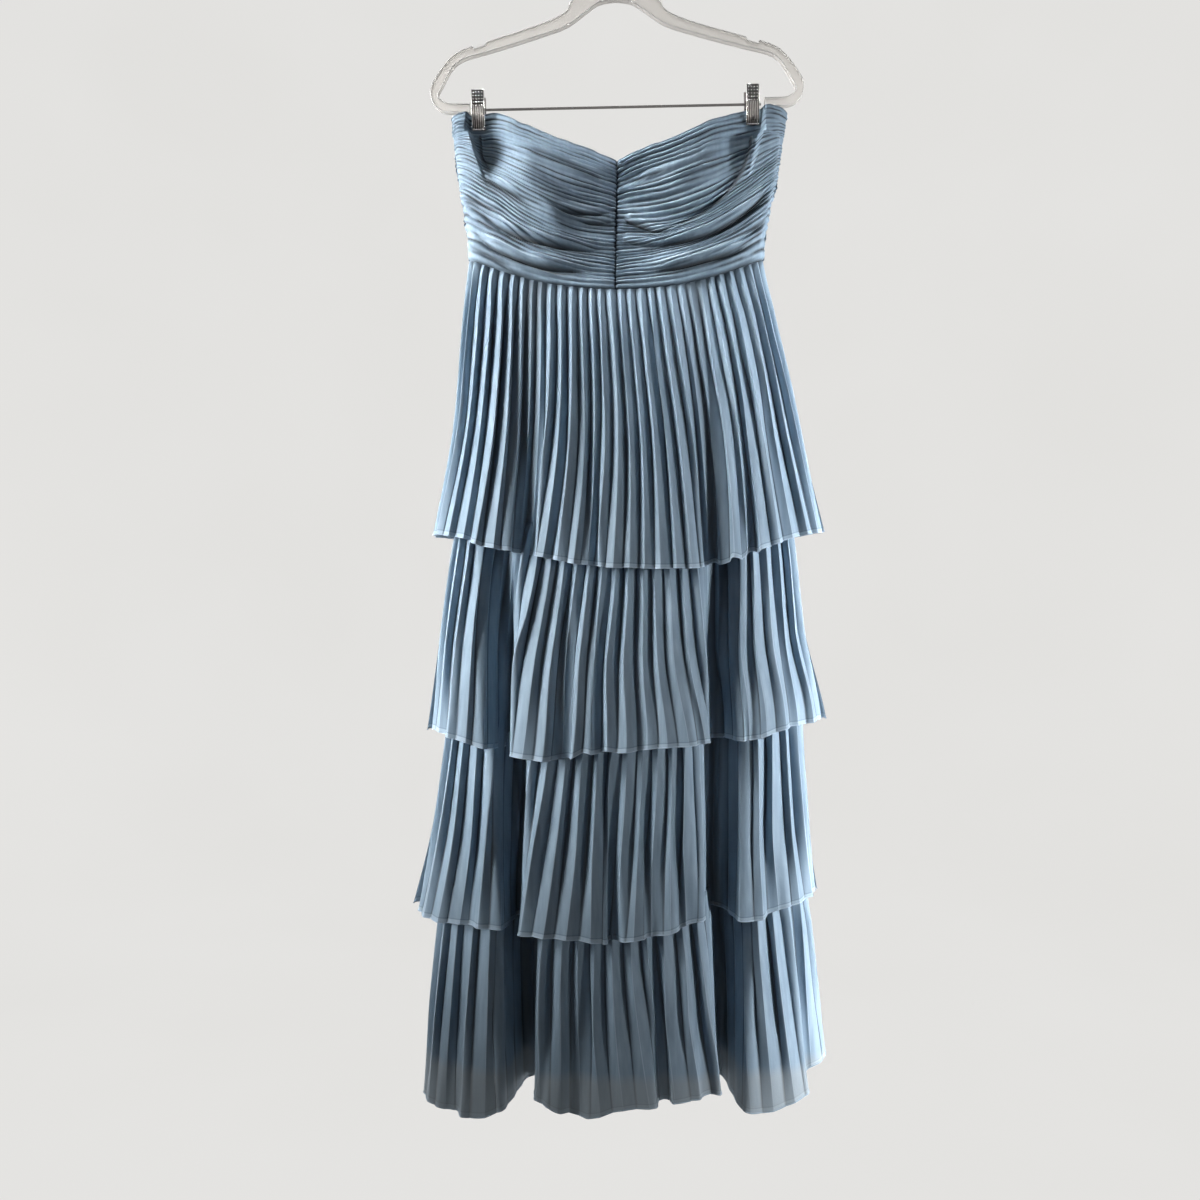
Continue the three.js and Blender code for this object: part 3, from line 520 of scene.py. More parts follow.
# ---------------------------------------------------------------- the tiers
def folds_at(index, face, t):
    """The folds of a tier's front or back at a share of its height."""
    grow, late = t ** 1.2, t ** 1.5
    found = []
    if face < 0:
        for xs, xh, ds, dh, flat, reach, plus, minus in TIER_FOLDS[index]:
            found.append((mix(xs, xh, t), mix(ds, dh, t), flat, reach + 6 * (1 - t), plus * late, minus * late, True))
            found.append((mix(xs, xh, t), ROUND[index] * grow, 0, 54, 0, 0, False))
    for i, f, xs, xh, dip, reach, plus, minus in SHORT_FOLDS:
        if i == index and f == face:
            found.append((mix(xs, xh, t), dip * grow, 3, reach, plus * late, minus * late, False))
    return found


def stand_off(tier, index, face, t, p, mask):
    down = t * (tier["seam"] - tier["hem"])
    side = np.where(p["share"] < 0, tier["offRight"], tier["offLeft"])
    full = mix(tier["offFront"] if face < 0 else tier["offBack"], side, p["nx"] ** 2)
    grow = t ** tier["flare"]
    at_seam = (SEAM_OFF if index else 1.0) + PUFF * (1 - math.exp(-down / tier["spring"])) * (1 if index else 1 - 0.7 * p["nx"] ** 2)
    floor = tier["inFold"] if face < 0 else full
    return at_seam + (mix(full, floor, mask if face < 0 else 0) - at_seam) * grow


# columns of one pleat, close together at its two pressed edges
PHASES = np.array([0, 0.022, 0.06, 0.14, 0.26, 0.38, 0.45, 0.482, 0.5, 0.518, 0.55, 0.62, 0.74, 0.86, 0.94, 0.978])


def zigzag(phase):
    """A pressed pleat: straight faces with a slight belly, from -0.5 in the valley to 0.5 on the crest."""
    tri = 1 - np.abs(2 * phase - 1)
    edge = 0.03
    pressed = np.clip((tri - edge) / (1 - 2 * edge), 0, 1)
    return pressed * 0.95 + tri * 0.05 + 0.035 * np.sin(math.pi * tri) - 0.5


# lean of the pleats over the front, by share across: minus turns the crests to the wearer's right, so the faces on that
# side are narrow and the others wide
LEAN = curve([-1, -0.75, -0.55, -0.4, -0.2, 0, 0.25, 0.55, 0.8, 1], [0.9, 0.85, 0.55, 0.15, -0.3, -0.52, -0.64, -0.64, -0.66, -0.66])
# how unevenly each tier's hem rises and falls, in millimetres
FLUTES = [2.2, 2.6, 2.8, 4.2]
# how much the pleats open out and soften towards each tier's hem
CALM = [0.2, 0.38, 0.42, 0.58]
# short rows of small curls in a hem: tier, face, middle, half width, pitch and height in millimetres
HEM_CURLS = [(0, -1, 134, 38, 20, 2.6), (1, -1, -30, 44, 26, 1.6), (0, 1, -70, 40, 24, 2.0), (2, 1, 60, 46, 26, 2.0)]
# the tiers' back layer swings out beside the front at the sides: tier, side (-1 wearer's right), millimetres at the hem
SIDE_SWING = {(2, -1): 13, (1, 1): 6, (2, 1): 4, (0, -1): 4, (0, 1): 9}


def tier_panel(tier, index, face):
    pleats = FRONT_PLEATS if face < 0 else BACK_PLEATS
    seed = 100 * index + (7 if face < 0 else 53)
    rng = np.random.RandomState(seed)
    width = 1 + rng.uniform(-0.16, 0.16, pleats)
    edges = np.concatenate([[0], np.cumsum(width)]) / width.sum()
    phase = np.concatenate([np.tile(PHASES, pleats), [1.0]])
    which = np.concatenate([np.repeat(np.arange(pleats), len(PHASES)), [pleats - 1]])
    tall = tier["seam"] - tier["hem"]
    near = np.array([0, 1.5, 4, 7.5, 12, 18]) / tall
    ts = np.concatenate([near, np.linspace(26 / tall, 1 - 9 / tall, 28), [1 - 4 / tall, 1.0]])
    rows, cols = len(ts), len(phase)
    # pleat edges wander a little on their way down
    wander = noise2(seed + 21, rows, pleats + 1, 4, pleats + 1, 0.07) / pleats
    wander[:, 0] = wander[:, -1] = 0
    lean_each = rng.uniform(-0.36, 0.36, pleats)[which]
    high_each = rng.uniform(0.78, 1.18, pleats)[which]
    lean_rows = noise2(seed + 3, rows, cols, 4, pleats, 0.32)
    high_rows = 1 + noise2(seed + 5, rows, cols, 4, pleats, 0.2)
    drift = noise2(seed + 9, rows, cols, 4, 9, 1.0)
    hem_each = rng.uniform(-1.2, 1.2, pleats)[which]
    flutes = noise(seed + 31, cols, 13, FLUTES[index])
    curls = [c for c in HEM_CURLS if c[0] == index and c[1] == face]

    def line_at(t):
        return layer_line(mix(tier["seam"], tier["hem"], t), face, folds_at(index, face, t), lambda p, mask: stand_off(tier, index, face, t, p, mask), lambda p: hem_drop(index, face, p["share"]) * t**1.5)

    hem = line_at(1.0)
    half = hem["run"][-1] / pleats / 2
    leg = math.hypot(half, tier["open"])
    grid = np.zeros((rows, cols, 3))
    uv = np.zeros((rows, cols, 2))
    shut = np.zeros((rows, cols))
    for r, t in enumerate(ts):
        line = line_at(t)
        at = edges + wander[r] * smooth(t * tall / 60)
        frac = at[which] + (at[which + 1] - at[which]) * phase
        frac[-1] = 1.0
        p = along(line, frac)
        ends = smooth(np.minimum(frac, 1 - frac) * pleats * 1.6)
        shut[r] = p["mask"]
        wave = zigzag(phase) * ends
        pitch = line["run"][-1] / pleats / 2
        down = t * tall
        height = min(9.5, math.sqrt(max(4, leg * leg - pitch * pitch))) * (1 - 0.66 * math.exp(-down / (48 if index == 0 else tier["spring"])))
        # close under the seam the pleats are pressed flat, and on the walls of a fold they lie closed
        height = height * high_each * high_rows[r] * (1 - CALM[index] * smooth((t - 0.55) / 0.45)) * (1 - 0.35 * p["mask"]) * (1 - 0.55 * np.clip(p["wall"], 0, 1))
        lean = ((LEAN(p["share"]) if face < 0 else 0) + lean_each + lean_rows[r]) * smooth(down / 60)
        d = wave * height + drift[r] * 1.2 * smooth(down / 80) * ends
        s = wave * height * lean * 0.8
        swing = SIDE_SWING.get((index, -1), 0) * smooth((-p["share"] - 0.8) / 0.2) * -1 + SIDE_SWING.get((index, 1), 0) * smooth((p["share"] - 0.8) / 0.2)
        swing = swing * t**2.2 * (1 if face > 0 else 0.8 if index == 0 else 0.25)
        along_x, along_y = -face * p["ny"], face * p["nx"]  # the way across, towards +x
        grid[r, :, 0] = p["x"] + p["nx"] * d + along_x * s * -face * -1 + DRESS_X + swing
        grid[r, :, 1] = p["y"] + p["ny"] * d + along_y * s * -face * -1
        grid[r, :, 2] = p["z"] + (hem_each * 0.5 + flutes) * smooth((t - 0.55) / 0.45)
        for _, _, at, broad, pitch, high in curls:
            curl = high * np.sin((p["across"] - at) / pitch * 2 * math.pi) * hump(p["across"] - at, broad * 0.4, broad) * smooth((t - 0.8) / 0.2)
            grid[r, :, 1] += face * 0.8 * curl
            grid[r, :, 2] -= curl
        uv[r, :, 0] = frac * 0.8
        uv[r, :, 1] = -down * MM
    grid *= MM
    name = f"{tier['name']}_{'front' if face < 0 else 'back'}"
    ob = grid_object(name + "_cloth", grid, cloth_low if index == 3 else cloth_skirt, uv)
    tri = 1 - np.abs(2 * phase - 1)
    # fold: valley to crest, lowered in a band under the seam and inside the long folds, so the material paints shade
    # there and keeps its painted crest highlight away from the seam
    mesh_values(ob, fold=np.tile(tri, (rows, 1)) * (1 - 0.85 * shut**2) * ((0.6 + 0.4 * smooth(ts * tall / 80)) * (0.14 + 0.86 * smooth(ts * tall / 15)))[:, None], hem=np.repeat(((1 - ts) * tall * MM)[:, None], cols, 1))
    rim = tube(name + "_hem", grid[-1], 0.0007, cloth_edge, 6)
    cut = float(np.linalg.norm(np.diff(grid[-1], axis=0), axis=1).sum())
    return ob, rim, cut, tall * MM


for index, tier in enumerate(TIERS):
    for face, word in ((-1, "front"), (1, "back")):
        ob, rim, cut, tall = tier_panel(tier, index, face)
        for piece in (ob, rim):
            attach(piece, "root")
        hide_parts(f"{tier['name']}_{word}")


# ---------------------------------------------------------------- the skirt lining
def lining_panel(face):
    levels = np.linspace(TIERS[0]["seam"], LINING_HEM, 40)
    grid = np.zeros((len(levels), 201, 3))
    for r, level in enumerate(levels):
        folds, back = [], 1.0
        if face < 0:
            deep, back = float(LINED["dip"](level)), float(LINED["back_off"](level))
            folds = [(float(LINED[side + "X"](level)), deep, 7, 26, 0, 0, True) for side in ("right", "left")]
        line = layer_line(level, face, folds, lambda p, mask: -1.0 - (back - 1) * (1 - p["nx"] ** 2) - 1.0)
        p = along(line, np.linspace(0, 1, 201))
        grid[r] = np.stack([p["x"] + DRESS_X, p["y"], p["z"]], 1)
    grid *= MM
    name = "lining_" + ("front" if face < 0 else "back")
    ob = grid_object(name + "_cloth", grid, cloth_lining)
    mesh_values(ob, fold=np.full(grid.shape[:2], 0.5), hem=np.repeat(((levels - LINING_HEM) * MM)[:, None], 201, 1))
    rim = tube(name + "_hem", grid[-1], 0.0008, cloth_lining, 6)
    for piece in (ob, rim):
        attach(piece, "root")
    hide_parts(name)


lining_panel(-1)
lining_panel(1)


# ---------------------------------------------------------------- the bodice
def neck_front(x):
    return np.where(x < 0, NECK["right"](np.abs(x)), NECK["left"](np.abs(x)))


def neck_back(x):
    inside = clamp(np.abs(x) / 162, 0, 1)
    return np.minimum(neck_front(x), mix(-229.0 - BACK_NECK_DIP, -229.0, inside**2.2))


def pinch(x, z):
    """How far the grips draw the front and back together, and where the cloth lies right under the jaws."""
    most, jaws = np.zeros_like(x), np.zeros_like(x)
    for at in GRIP_X.values():
        # below a clip the fold that it makes runs inward
        d = x - at + math.copysign(0.3, at) * clamp(GRIP_FOOT - z, 0, 90)
        outside = np.sign(d) == np.sign(at)
        reach = np.where(outside, 11, 50)
        most = np.maximum(most, smooth((reach - np.abs(d)) / (reach - np.where(outside, 7, 11))) * smooth((z - (GRIP_FOOT - 84)) / 80))
        jaws = np.maximum(jaws, smooth((14 - np.abs(x - at)) / 5) * smooth((z - (GRIP_FOOT - 8)) / 6))
    return most, jaws


def ring_v(level, e, face):
    """The ring's point for arrays of level and share."""
    right, left, lift = RING["right"](level), RING["left"](level), RING["lift"](level)
    deep = RING["front" if face < 0 else "back"](level)
    middle, half = (right + left) / 2, (left - right) / 2
    f = (np.maximum(0, 1 - np.abs(e) ** OVAL)) ** (1 / OVAL)
    nx, ny = np.sign(e) * np.abs(e) ** (OVAL - 1) / half, face * f ** (OVAL - 1) / deep
    n = np.hypot(nx, ny) + 1e-12
    return middle + half * e, face * deep * f, level + lift * np.abs(e) ** SAG_POWER, nx / n, ny / n


def bodice_surface(e, b, face, out):
    """Points of the bodice for arrays of share across e, share down b and distance outward."""
    _, _, waist_z, _, _ = ring_v(np.full_like(e, WAIST), e, face)
    top_x = ring_v(np.full_like(e, -240.0), e, face)[0]
    top = neck_front(top_x) if face < 0 else neck_back(top_x)
    z = mix(top, waist_z, b)
    level = clamp(z - (waist_z - WAIST) * b, WAIST, -240)
    x, y, _, nx, ny = ring_v(level, e, face)
    held, jaws = pinch(x, z)
    yy = mix(y + ny * out, face * (0.2 + 0.8 * out), held)
    yy = mix(yy, face * (0.2 + clamp(out, -1.5, 2.3)), jaws) + face * SEAM_GAP * 0.5
    return x + nx * out * (1 - 0.75 * held), yy, z, held


# how far the pleat lines bow downward between the centre seam and the side, and how much higher they start at the side,
# by the share down at the centre seam; STEEP is how late that rise comes
BOW = {
    -1: curve([0, 0.16, 0.33, 0.5, 0.73, 0.87, 1], [0, 0.005, 0.045, 0.055, 0.015, 0, 0]),
    1: curve([0, 0.16, 0.3, 0.46, 0.58, 0.73, 0.87, 1], [0, 0.01, 0.06, 0.10, 0.07, 0.03, 0, 0]),
}
RISE = {
    -1: curve([0, 0.16, 0.33, 0.5, 0.73, 0.87, 1], [0, 0.03, 0.15, 0.2, 0.25, 0.15, 0]),
    1: curve([0, 0.16, 0.3, 0.46, 0.57, 0.65, 0.74, 0.83, 0.91, 1], [0, 0.05, 0.11, 0.17, 0.20, 0.21, 0.20, 0.16, 0.10, 0]),
}
STEEP = {-1: 3.0, 1: 6.0}
FRONT_LINES, BACK_LINES = 33, 34

# The bodice's large creases: swags that hang from the sides to the centre seam, each a ridge that droops over a trough.
# Each row: the way it runs (x and z in the dress), trough depth, trough width, ridge height, ridge width, droop, and the
# shares of its length over which it fades in and out.
SWAGS = [
    ([(-170, -380), (-149, -401), (-130, -413), (-108, -422), (-64, -432), (-16, -434)], 8.4, 3.2, 5.4, 9, 3.2, 0.26, 0.42),
    ([(-172, -346), (-143, -376), (-120, -390), (-92, -400), (-62, -406), (-35, -409), (-6, -400)], 8.0, 3.0, 5.4, 9, 3.0, 0.42, 0.34),
    ([(-172, -312), (-140, -332), (-112, -350), (-88, -368)], 4.2, 3.0, 2.6, 8, 1.6, 0.3, 0.4),
    ([(-98, -342), (-54, -366), (-30, -367), (-4, -362)], 4.0, 2.6, 2.6, 7, 2.0, 0.55, 0.15),
    ([(-48, -376), (-26, -377), (-4, -373)], 3.6, 2.2, 2.2, 6, 1.6, 0.4, 0.1),
    ([(-190, -334), (-162, -350), (-128, -372)], 3.4, 2.6, 2.4, 7, 1.4, 0.3, 0.4),
    ([(-188, -388), (-150, -412), (-110, -437), (-70, -444)], 3.4, 2.6, 2.0, 8, 1.4, 0.3, 0.4),
    ([(-120, -281), (-70, -303), (-30, -320), (-6, -327)], 2.2, 2.2, 1.4, 7, 0.8, 0.3, 0.2),
    ([(182, -320), (163, -348), (138, -372), (112, -388), (80, -399), (44, -405), (23, -413)], 8.0, 3.8, 4.6, 9, 3.4, 0.25, 0.3),
    ([(164, -388), (133, -411), (99, -422), (60, -431), (14, -437)], 7.8, 3.0, 5.2, 9, 3.0, 0.3, 0.42),
    ([(6, -371), (20, -377), (48, -388), (76, -390)], 4.6, 2.6, 2.6, 6, 2.0, 0.1, 0.4),
    ([(4, -395), (30, -402), (62, -404)], 3.4, 2.4, 2.4, 6, 1.6, 0.1, 0.4),
    ([(186, -352), (168, -372), (140, -394)], 3.6, 2.8, 2.6, 8, 1.6, 0.3, 0.4),
    ([(178, -402), (150, -420), (112, -438), (70, -446)], 3.2, 2.6, 2.0, 8, 1.2, 0.3, 0.4),
    ([(150, -275), (96, -302), (50, -322), (8, -333)], 2.0, 2.2, 1.4, 7, 0.8, 0.3, 0.2),
    ([(4, -352), (34, -350), (80, -338), (120, -318)], 2.6, 2.2, 1.6, 7, 0.8, 0.1, 0.4),
]
# One-sided folds: the way, height, how far it takes to rise, and how far it takes to sink again on its other side. The
# raised side is on the left of the way, looked at from the front. The last value marks a fold with a sharp crest.
ROLLS = [
    ([(163, -256), (159.5, -279), (150, -308), (137, -334), (117, -357), (91, -376), (59, -388), (26, -389.5)], 10.5, 4.0, 50.0, 0.06, 0.3, False),
    ([(-44, -404), (-75, -366), (-98, -338), (-122, -308), (-144, -280)], 13.5, 27.0, 27.0, 0.4, 0.42, True),
    ([(-134, -352), (-147, -330), (-158, -305), (-165, -282), (-166, -258)], 7.0, 6.0, 22.0, 0.7, 0.1, False),
]


def way(points, n=48):
    pts = np.array(points, float)
    run = np.concatenate([[0], np.cumsum(np.hypot(*np.diff(pts, axis=0).T))])
    u = np.linspace(0, run[-1], n)
    return np.stack([curve(run, pts[:, 0])(u), curve(run, pts[:, 1])(u)], 1)


def beside(points, x, z):
    """Distance to a way, plus on its left, and the share of the way along."""
    line = way(points)
    seg = np.diff(line, axis=0)
    mid = (line[1:] + line[:-1]) / 2
    d2 = (x[..., None] - mid[:, 0]) ** 2 + (z[..., None] - mid[:, 1]) ** 2
    k = d2.argmin(-1)
    t = seg[k] / np.linalg.norm(seg[k], axis=-1)[..., None]
    rx, rz = x - mid[k, 0], z - mid[k, 1]
    side = -t[..., 1] * rx + t[..., 0] * rz
    ahead = t[..., 0] * rx + t[..., 1] * rz
    far = np.hypot(rx, rz)
    edge = (k == 0) | (k == len(mid) - 1)
    signed = np.where(edge & (np.abs(ahead) > 4), np.sign(side) * far, side)
    return signed, k / (len(mid) - 1), far


def creases(x, z):
    """The outward push of the swags and of the rolls, the downward shift, the painted shade in the mouths and the
    painted highlight on the ridges.
    """
    out, roll, down, dark, light = (np.zeros_like(x) for _ in range(5))
    for points, depth, width, high, broad, droop, fade_in, fade_out in SWAGS:
        s, u, far = beside(points if points[0][0] < points[-1][0] else points[::-1], x, z)
        if points[0][0] > points[-1][0]:
            u = 1 - u
        near = smooth(u / fade_in) * smooth((1 - u) / fade_out) * (far < 60)
        out += near * (1.7 * high * np.exp(-(((s - broad * 0.75) / broad) ** 2)) - 1.2 * depth * np.exp(-(((s + width * 0.5) / width) ** 2)))
        down += near * 0.65 * droop * np.exp(-(((s - 1.5) / 3.4) ** 2))
        # painted shade in the trough's mouth and below it, and a painted highlight along the ridge
        strong = clamp(near * depth / 4.5, 0, 1)
        taper = 0.35 + 0.65 * near
        dark = np.maximum(dark, strong * np.maximum(np.exp(-(((s + 1.0) / (3.1 * taper)) ** 2)), 0.55 * np.exp(-(((s + 4.6) / (5.2 * taper)) ** 2))))
        light = np.maximum(light, strong * np.exp(-(((s - broad * 0.85) / (broad * 0.45)) ** 2)))
    for points, high, rise, sink, fade_in, fade_out, sharp in ROLLS:
        s, u, far = beside(points, x, z)
        near = smooth(u / fade_in) * smooth((1 - u) / fade_out)
        if sharp:
            a = np.sqrt(s * s + 4) - 2
            shape = np.exp(-a / np.where(s > 0, sink, rise))
        else:
            shape = np.where(s < 0, smooth(1 + s / rise), np.exp(-((clamp(s, 0, 400) / sink) ** 2)))
            # painted shade along the roll's rising flank
            dark = np.maximum(dark, near * 0.95 * np.exp(-(((s + rise * 0.6) / 3.0) ** 2)))
        roll += near * high * shape
    return out, roll, down, dark, light


def bodice_panel(side, face):
    """side: -1 right front, 1 left front, 0 the whole back."""
    lines = FRONT_LINES if face < 0 else BACK_LINES
    per = 7 if face < 0 else 6
    rows = lines * per + 1
    rng = np.random.RandomState(31 + side + 5 * face)
    size = 1 + rng.uniform(-0.3, 0.3, lines)
    edges = np.concatenate([[0], np.cumsum(size)]) / size.sum()
    q = np.interp(np.linspace(0, lines, rows), np.arange(lines + 1), edges)
    phase = np.linspace(0, lines, rows) % 1.0
    seam = -1.5 / 185
    if face < 0:
        share = np.linspace(0, 1, 176) ** 1.25
        e = seam + (side - seam) * np.sin(share * math.pi / 2)
    else:
        e = np.sin(np.linspace(-math.pi / 2, math.pi / 2, 220))
    if side < 0:
        e = e[::-1]
    Q, E = np.meshgrid(q, e, indexing="ij")
    P = np.repeat(phase[:, None], len(e), 1)
    S = np.abs(E - seam) if face < 0 else np.abs(E)
    from_seam = S * 185
    if face < 0:
        B = Q + BOW[side](Q) * np.sin(math.pi * clamp(S, 0, 1) ** 0.85) - RISE[side](Q) * S ** STEEP[side]
        # the lines run a little unevenly
        B = B + noise2(140 + side, rows, len(e), 14, 9, 0.007) * smooth(Q * 8) * smooth((1 - Q) * 8) * smooth(from_seam / 12)
    else:
        B = Q + 0.06 * np.sin(math.pi * Q) * (1 - S**2) + noise2(150, rows, len(e), 12, 11, 0.009) * smooth(Q * 8) * smooth((1 - Q) * 8)
    B = clamp(B, 0, 1)
    B[0], B[-1] = 0, 1
    # where the lines crowd together the pleats are shallower
    crowd = clamp(np.gradient(B, axis=0) / np.gradient(Q, axis=0), 0.12, 1.15) ** 0.9
    # a fine pressed pleat: full above, turned sharply under at its lower edge
    late = P**1.25
    ridge = 1 - np.abs(2 * late - 1) ** 1.8
    strong = np.concatenate([rng.uniform(0.35, 1.45, lines), [1.0]])[np.minimum((np.linspace(0, lines, rows)).astype(int), lines)]
    wobble = clamp(1 + noise2(77 + side, rows, len(e), lines + 1, 9, 0.55), 0.25, 2)
    depth = 3.4 * strong[:, None] * wobble * crowd * (1 - 0.65 * smooth((S - 0.93) / 0.07))
    if face < 0:
        depth = depth * (1 + 0.9 * np.exp(-from_seam / 14))
    fade = smooth(Q * 16) * smooth((1 - Q) * 20)
    crumple = noise2(210 + side, rows, len(e), 60, 44, 0.35) + noise2(230 + side, rows, len(e), 26, 16, 0.6)
    out = BODICE_WALL * 0.8 + depth * ridge * (0.3 + 0.7 * fade) + crumple * fade
    x0, _, z0, held0 = bodice_surface(E, B, face, np.full_like(E, 1.0))
    drop = np.zeros_like(out)
    if face < 0:
        push, roll, drop, dark, light = creases(x0, z0)
        low = smooth((z0 - WAIST - 4) / 16 + 0.15) * smooth((1 - S) / 0.05)
        free = (1 - held0) * low
        out = out + push * free + roll * (1 - pinch(x0, z0)[1]) * low
        drop = drop * free
        # the centre seam lies in a groove, with small puckers along it
        out = out + 0.9 * np.sin(4 * math.pi * P) * np.exp(-from_seam / 5) * fade
        out = out - 3.4 * np.exp(-((from_seam / 1.7) ** 2)) - 1.4 * np.exp(-((from_seam / 8.0) ** 2))
        # between the cups the cloth is drawn in towards the seam
        drawn = np.clip(1 - from_seam / 74, 0, 1) ** 1.25 * smooth((1 - Q) / 0.3) * (0.5 + 0.5 * smooth(Q / 0.2))
        out = out - 9.5 * drawn
    else:
        broad = noise2(260, rows, len(e), 7, 6, 2.2)
        out = out + broad * fade
    # the lower edge swells a little over the waist seam, then turns under
    out = out + 1.4 * smooth((Q - 0.955) / 0.02) - 3.0 * smooth((Q - 0.988) / 0.012)
    floor = -8.5 - (7.5 * drawn if face < 0 else 0)
    x, y, z, held = bodice_surface(E, B, face, np.maximum(out, floor))
    # the neckline's edge is a little uneven
    uneven = noise(500 + side + 3 * face, len(e), 26, 1.1)[None, :] * smooth(from_seam / 12) * smooth((1 - S) / 0.1) * np.exp(-Q * 14) * (1 - held)
    grid = np.stack([x + DRESS_X, y, z - drop + uneven], -1) * MM
    # the shade in the fine folds comes and goes along each line
    cut = rng.uniform(0.5, 1.4, lines + 1)[np.clip(np.rint(np.linspace(0, lines, rows)).astype(int), 0, lines)]
    fine = clamp(0.82 + noise2(410 + side, rows, len(e), lines + 1, 12, 0.75), 0.15, 1.2)
    near = np.minimum(P, 1 - P)
    value = 0.86 * (1 - clamp(cut[:, None] * fine, 0, 1) * np.exp(-((near / 0.2) ** 2)))
    if face < 0:
        # painted shade along the centre seam's groove and in the creases' mouths, and a painted highlight on the swags'
        # ridges
        notch = 0.9 + 2.4 * np.exp(-((near / 0.22) ** 2)) * clamp(cut[:, None] * 0.8, 0, 1)
        value = value * (1 - 0.9 * np.exp(-((from_seam / notch) ** 2))) * (1 - dark * np.where(roll > 1, low, free)) + 0.2 * light * free
    return grid, value


BODICE = {"bodice_front_right": (-1, -1), "bodice_front_left": (1, -1), "bodice_back": (0, 1)}
for name, (side, face) in BODICE.items():
    grid, value = bodice_panel(side, face)
    ob = grid_object(name + "_cloth", grid, cloth_bodice)
    mesh_values(ob, fold=value, hem=np.full(value.shape, 1.0))
    edge = tube(name + "_neck_edge", grid[0], 0.0009, cloth_bodice, 6)
    for piece in (ob, edge):
        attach(piece, "root")
    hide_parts(name)
    tall = float(np.linalg.norm(np.diff(grid[:, grid.shape[1] // 2], axis=0), axis=1).sum())

# ---------------------------------------------------------------- the hanger
for name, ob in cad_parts.items():
    if name.startswith(("hanger_", "clip_")):
        ob.data.materials.clear()
        ob.data.materials.append(plastic if name == "hanger_frame" else chrome if name == "hanger_hook" else dull_steel if name == "hanger_bar" else steel)

TILT = math.radians(1.2)
CLIP_X = {"left": 161.2, "right": -166.4}
JAW_X, JAW_TOP, JAW_FOOT = 7.75, -207.5, -253.3


def hung(points):
    """From the hanger's own upright frame in millimetres to the world in metres."""
    p = np.asarray(points, float)
    c, s = math.cos(TILT), math.sin(TILT)
    return np.stack([c * p[..., 0] - s * p[..., 2], p[..., 1], s * p[..., 0] + c * p[..., 2]], -1) * MM


def jaw_depth(z):
    return np.interp(z, [-253.3, -243.3, -228.2, -207.5], [4.8, 6.6, 9.9, 10.7])


def stud(x, z, side, radius=1.0, high=1.0):
    """A low round stud on a jaw's outer face."""
    points, faces, sides = [], [], 8
    for r, h in ((1.0, -0.1), (0.86, 0.5), (0.5, 0.86)):
        for k in range(sides):
            a = 2 * math.pi * k / sides
            zz = z + radius * r * math.sin(a)
            points.append((x + radius * r * math.cos(a), side * (jaw_depth(zz) + high * h), zz))
    points.append((x, side * (jaw_depth(z) + high), z))
    for k in range(sides):
        n = (k + 1) % sides
        faces += [(k, n, sides + n, sides + k), (sides + k, sides + n, 2 * sides + n, 2 * sides + k), (2 * sides + k, 2 * sides + n, 3 * sides)]
    return hung(points), faces


def along_jaw(x, side, top, foot, out):
    z = np.array([top, *[k for k in (-228.2, -243.3) if foot < k < top], foot])
    return hung(np.stack([np.full(len(z), x), side * (jaw_depth(z) + out), z], 1))


for word, at in CLIP_X.items():
    for side, place in ((-1, "front"), (1, "back")):
        bits = [stud(at - 5.1 + 3.4 * c, JAW_TOP - 3.6 - 3.75 * r, side) for r in range(5) for c in range(4)]
        dull = [bead(along_jaw(at + x, side, -227.6, JAW_FOOT + 1.6, 0.25), 0.0008, 6) for x in (-5.2, -2.6, 0, 2.6, 5.2)]
        bits += [bead(along_jaw(at + x, side, JAW_TOP - 0.4, JAW_FOOT + 0.5, 0.1), 0.00045, 6) for x in (-JAW_X + 0.45, JAW_X - 0.45)]
        for z in (JAW_TOP - 0.5, JAW_FOOT + 0.8):
            bits.append(bead(hung([(at + x, side * (jaw_depth(z) + 0.1), z) for x in (-JAW_X + 0.5, 0, JAW_X - 0.5)]), 0.00045, 6))
        relief = joined(f"clip_{word}_{place}_relief", bits, chrome)
        ribs = joined(f"clip_{word}_{place}_ribs", dull, dull_steel)
        z = np.array([JAW_TOP - 0.6, -228.2, -243.3, JAW_FOOT + 0.6])
        back = np.stack([hung(np.stack([np.full(4, at + x), side * (jaw_depth(z) + 0.12), z], 1)) for x in (-JAW_X + 0.4, JAW_X - 0.4)], 1)
        ground = grid_object(f"clip_{word}_{place}_ground", back, recess)
        for piece in (relief, ribs, ground):
            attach(piece, "root")


def edge_loops(ob, side):
    """The outline of a flat face of a CAD node that looks along -Y or +Y."""
    mesh, world = ob.data, ob.matrix_world
    spots = [world @ v.co for v in mesh.vertices]
    key = [tuple(round(c, 6) for c in v) for v in spots]
    far = max(side * v.y for v in spots)
    count = {}
    for f in mesh.polygons:
        if all(side * spots[k].y > far - 1e-5 for k in f.vertices):
            ring = [key[k] for k in f.vertices]
            for a, b in zip(ring, ring[1:] + ring[:1]):
                if (b, a) in count:
                    del count[(b, a)]
                else:
                    count[(a, b)] = True
    after = dict(count.keys())
    loops = []
    while after:
        start, nxt = after.popitem()
        loop = [start]
        while nxt != start and nxt in after:
            loop.append(nxt)
            nxt = after.pop(nxt)
        loops.append(np.array(loop + [start]))
    return loops


# white beads along the frame's outlines on both faces: painted highlight
bits = [bead(loop, 0.0008, 6) for side in (-1, 1) for loop in edge_loops(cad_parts["hanger_frame"], side) if len(loop) > 20]
edge_highlight_beads = joined("hanger_frame_edges", bits, plastic_edge)
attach(edge_highlight_beads, "root")

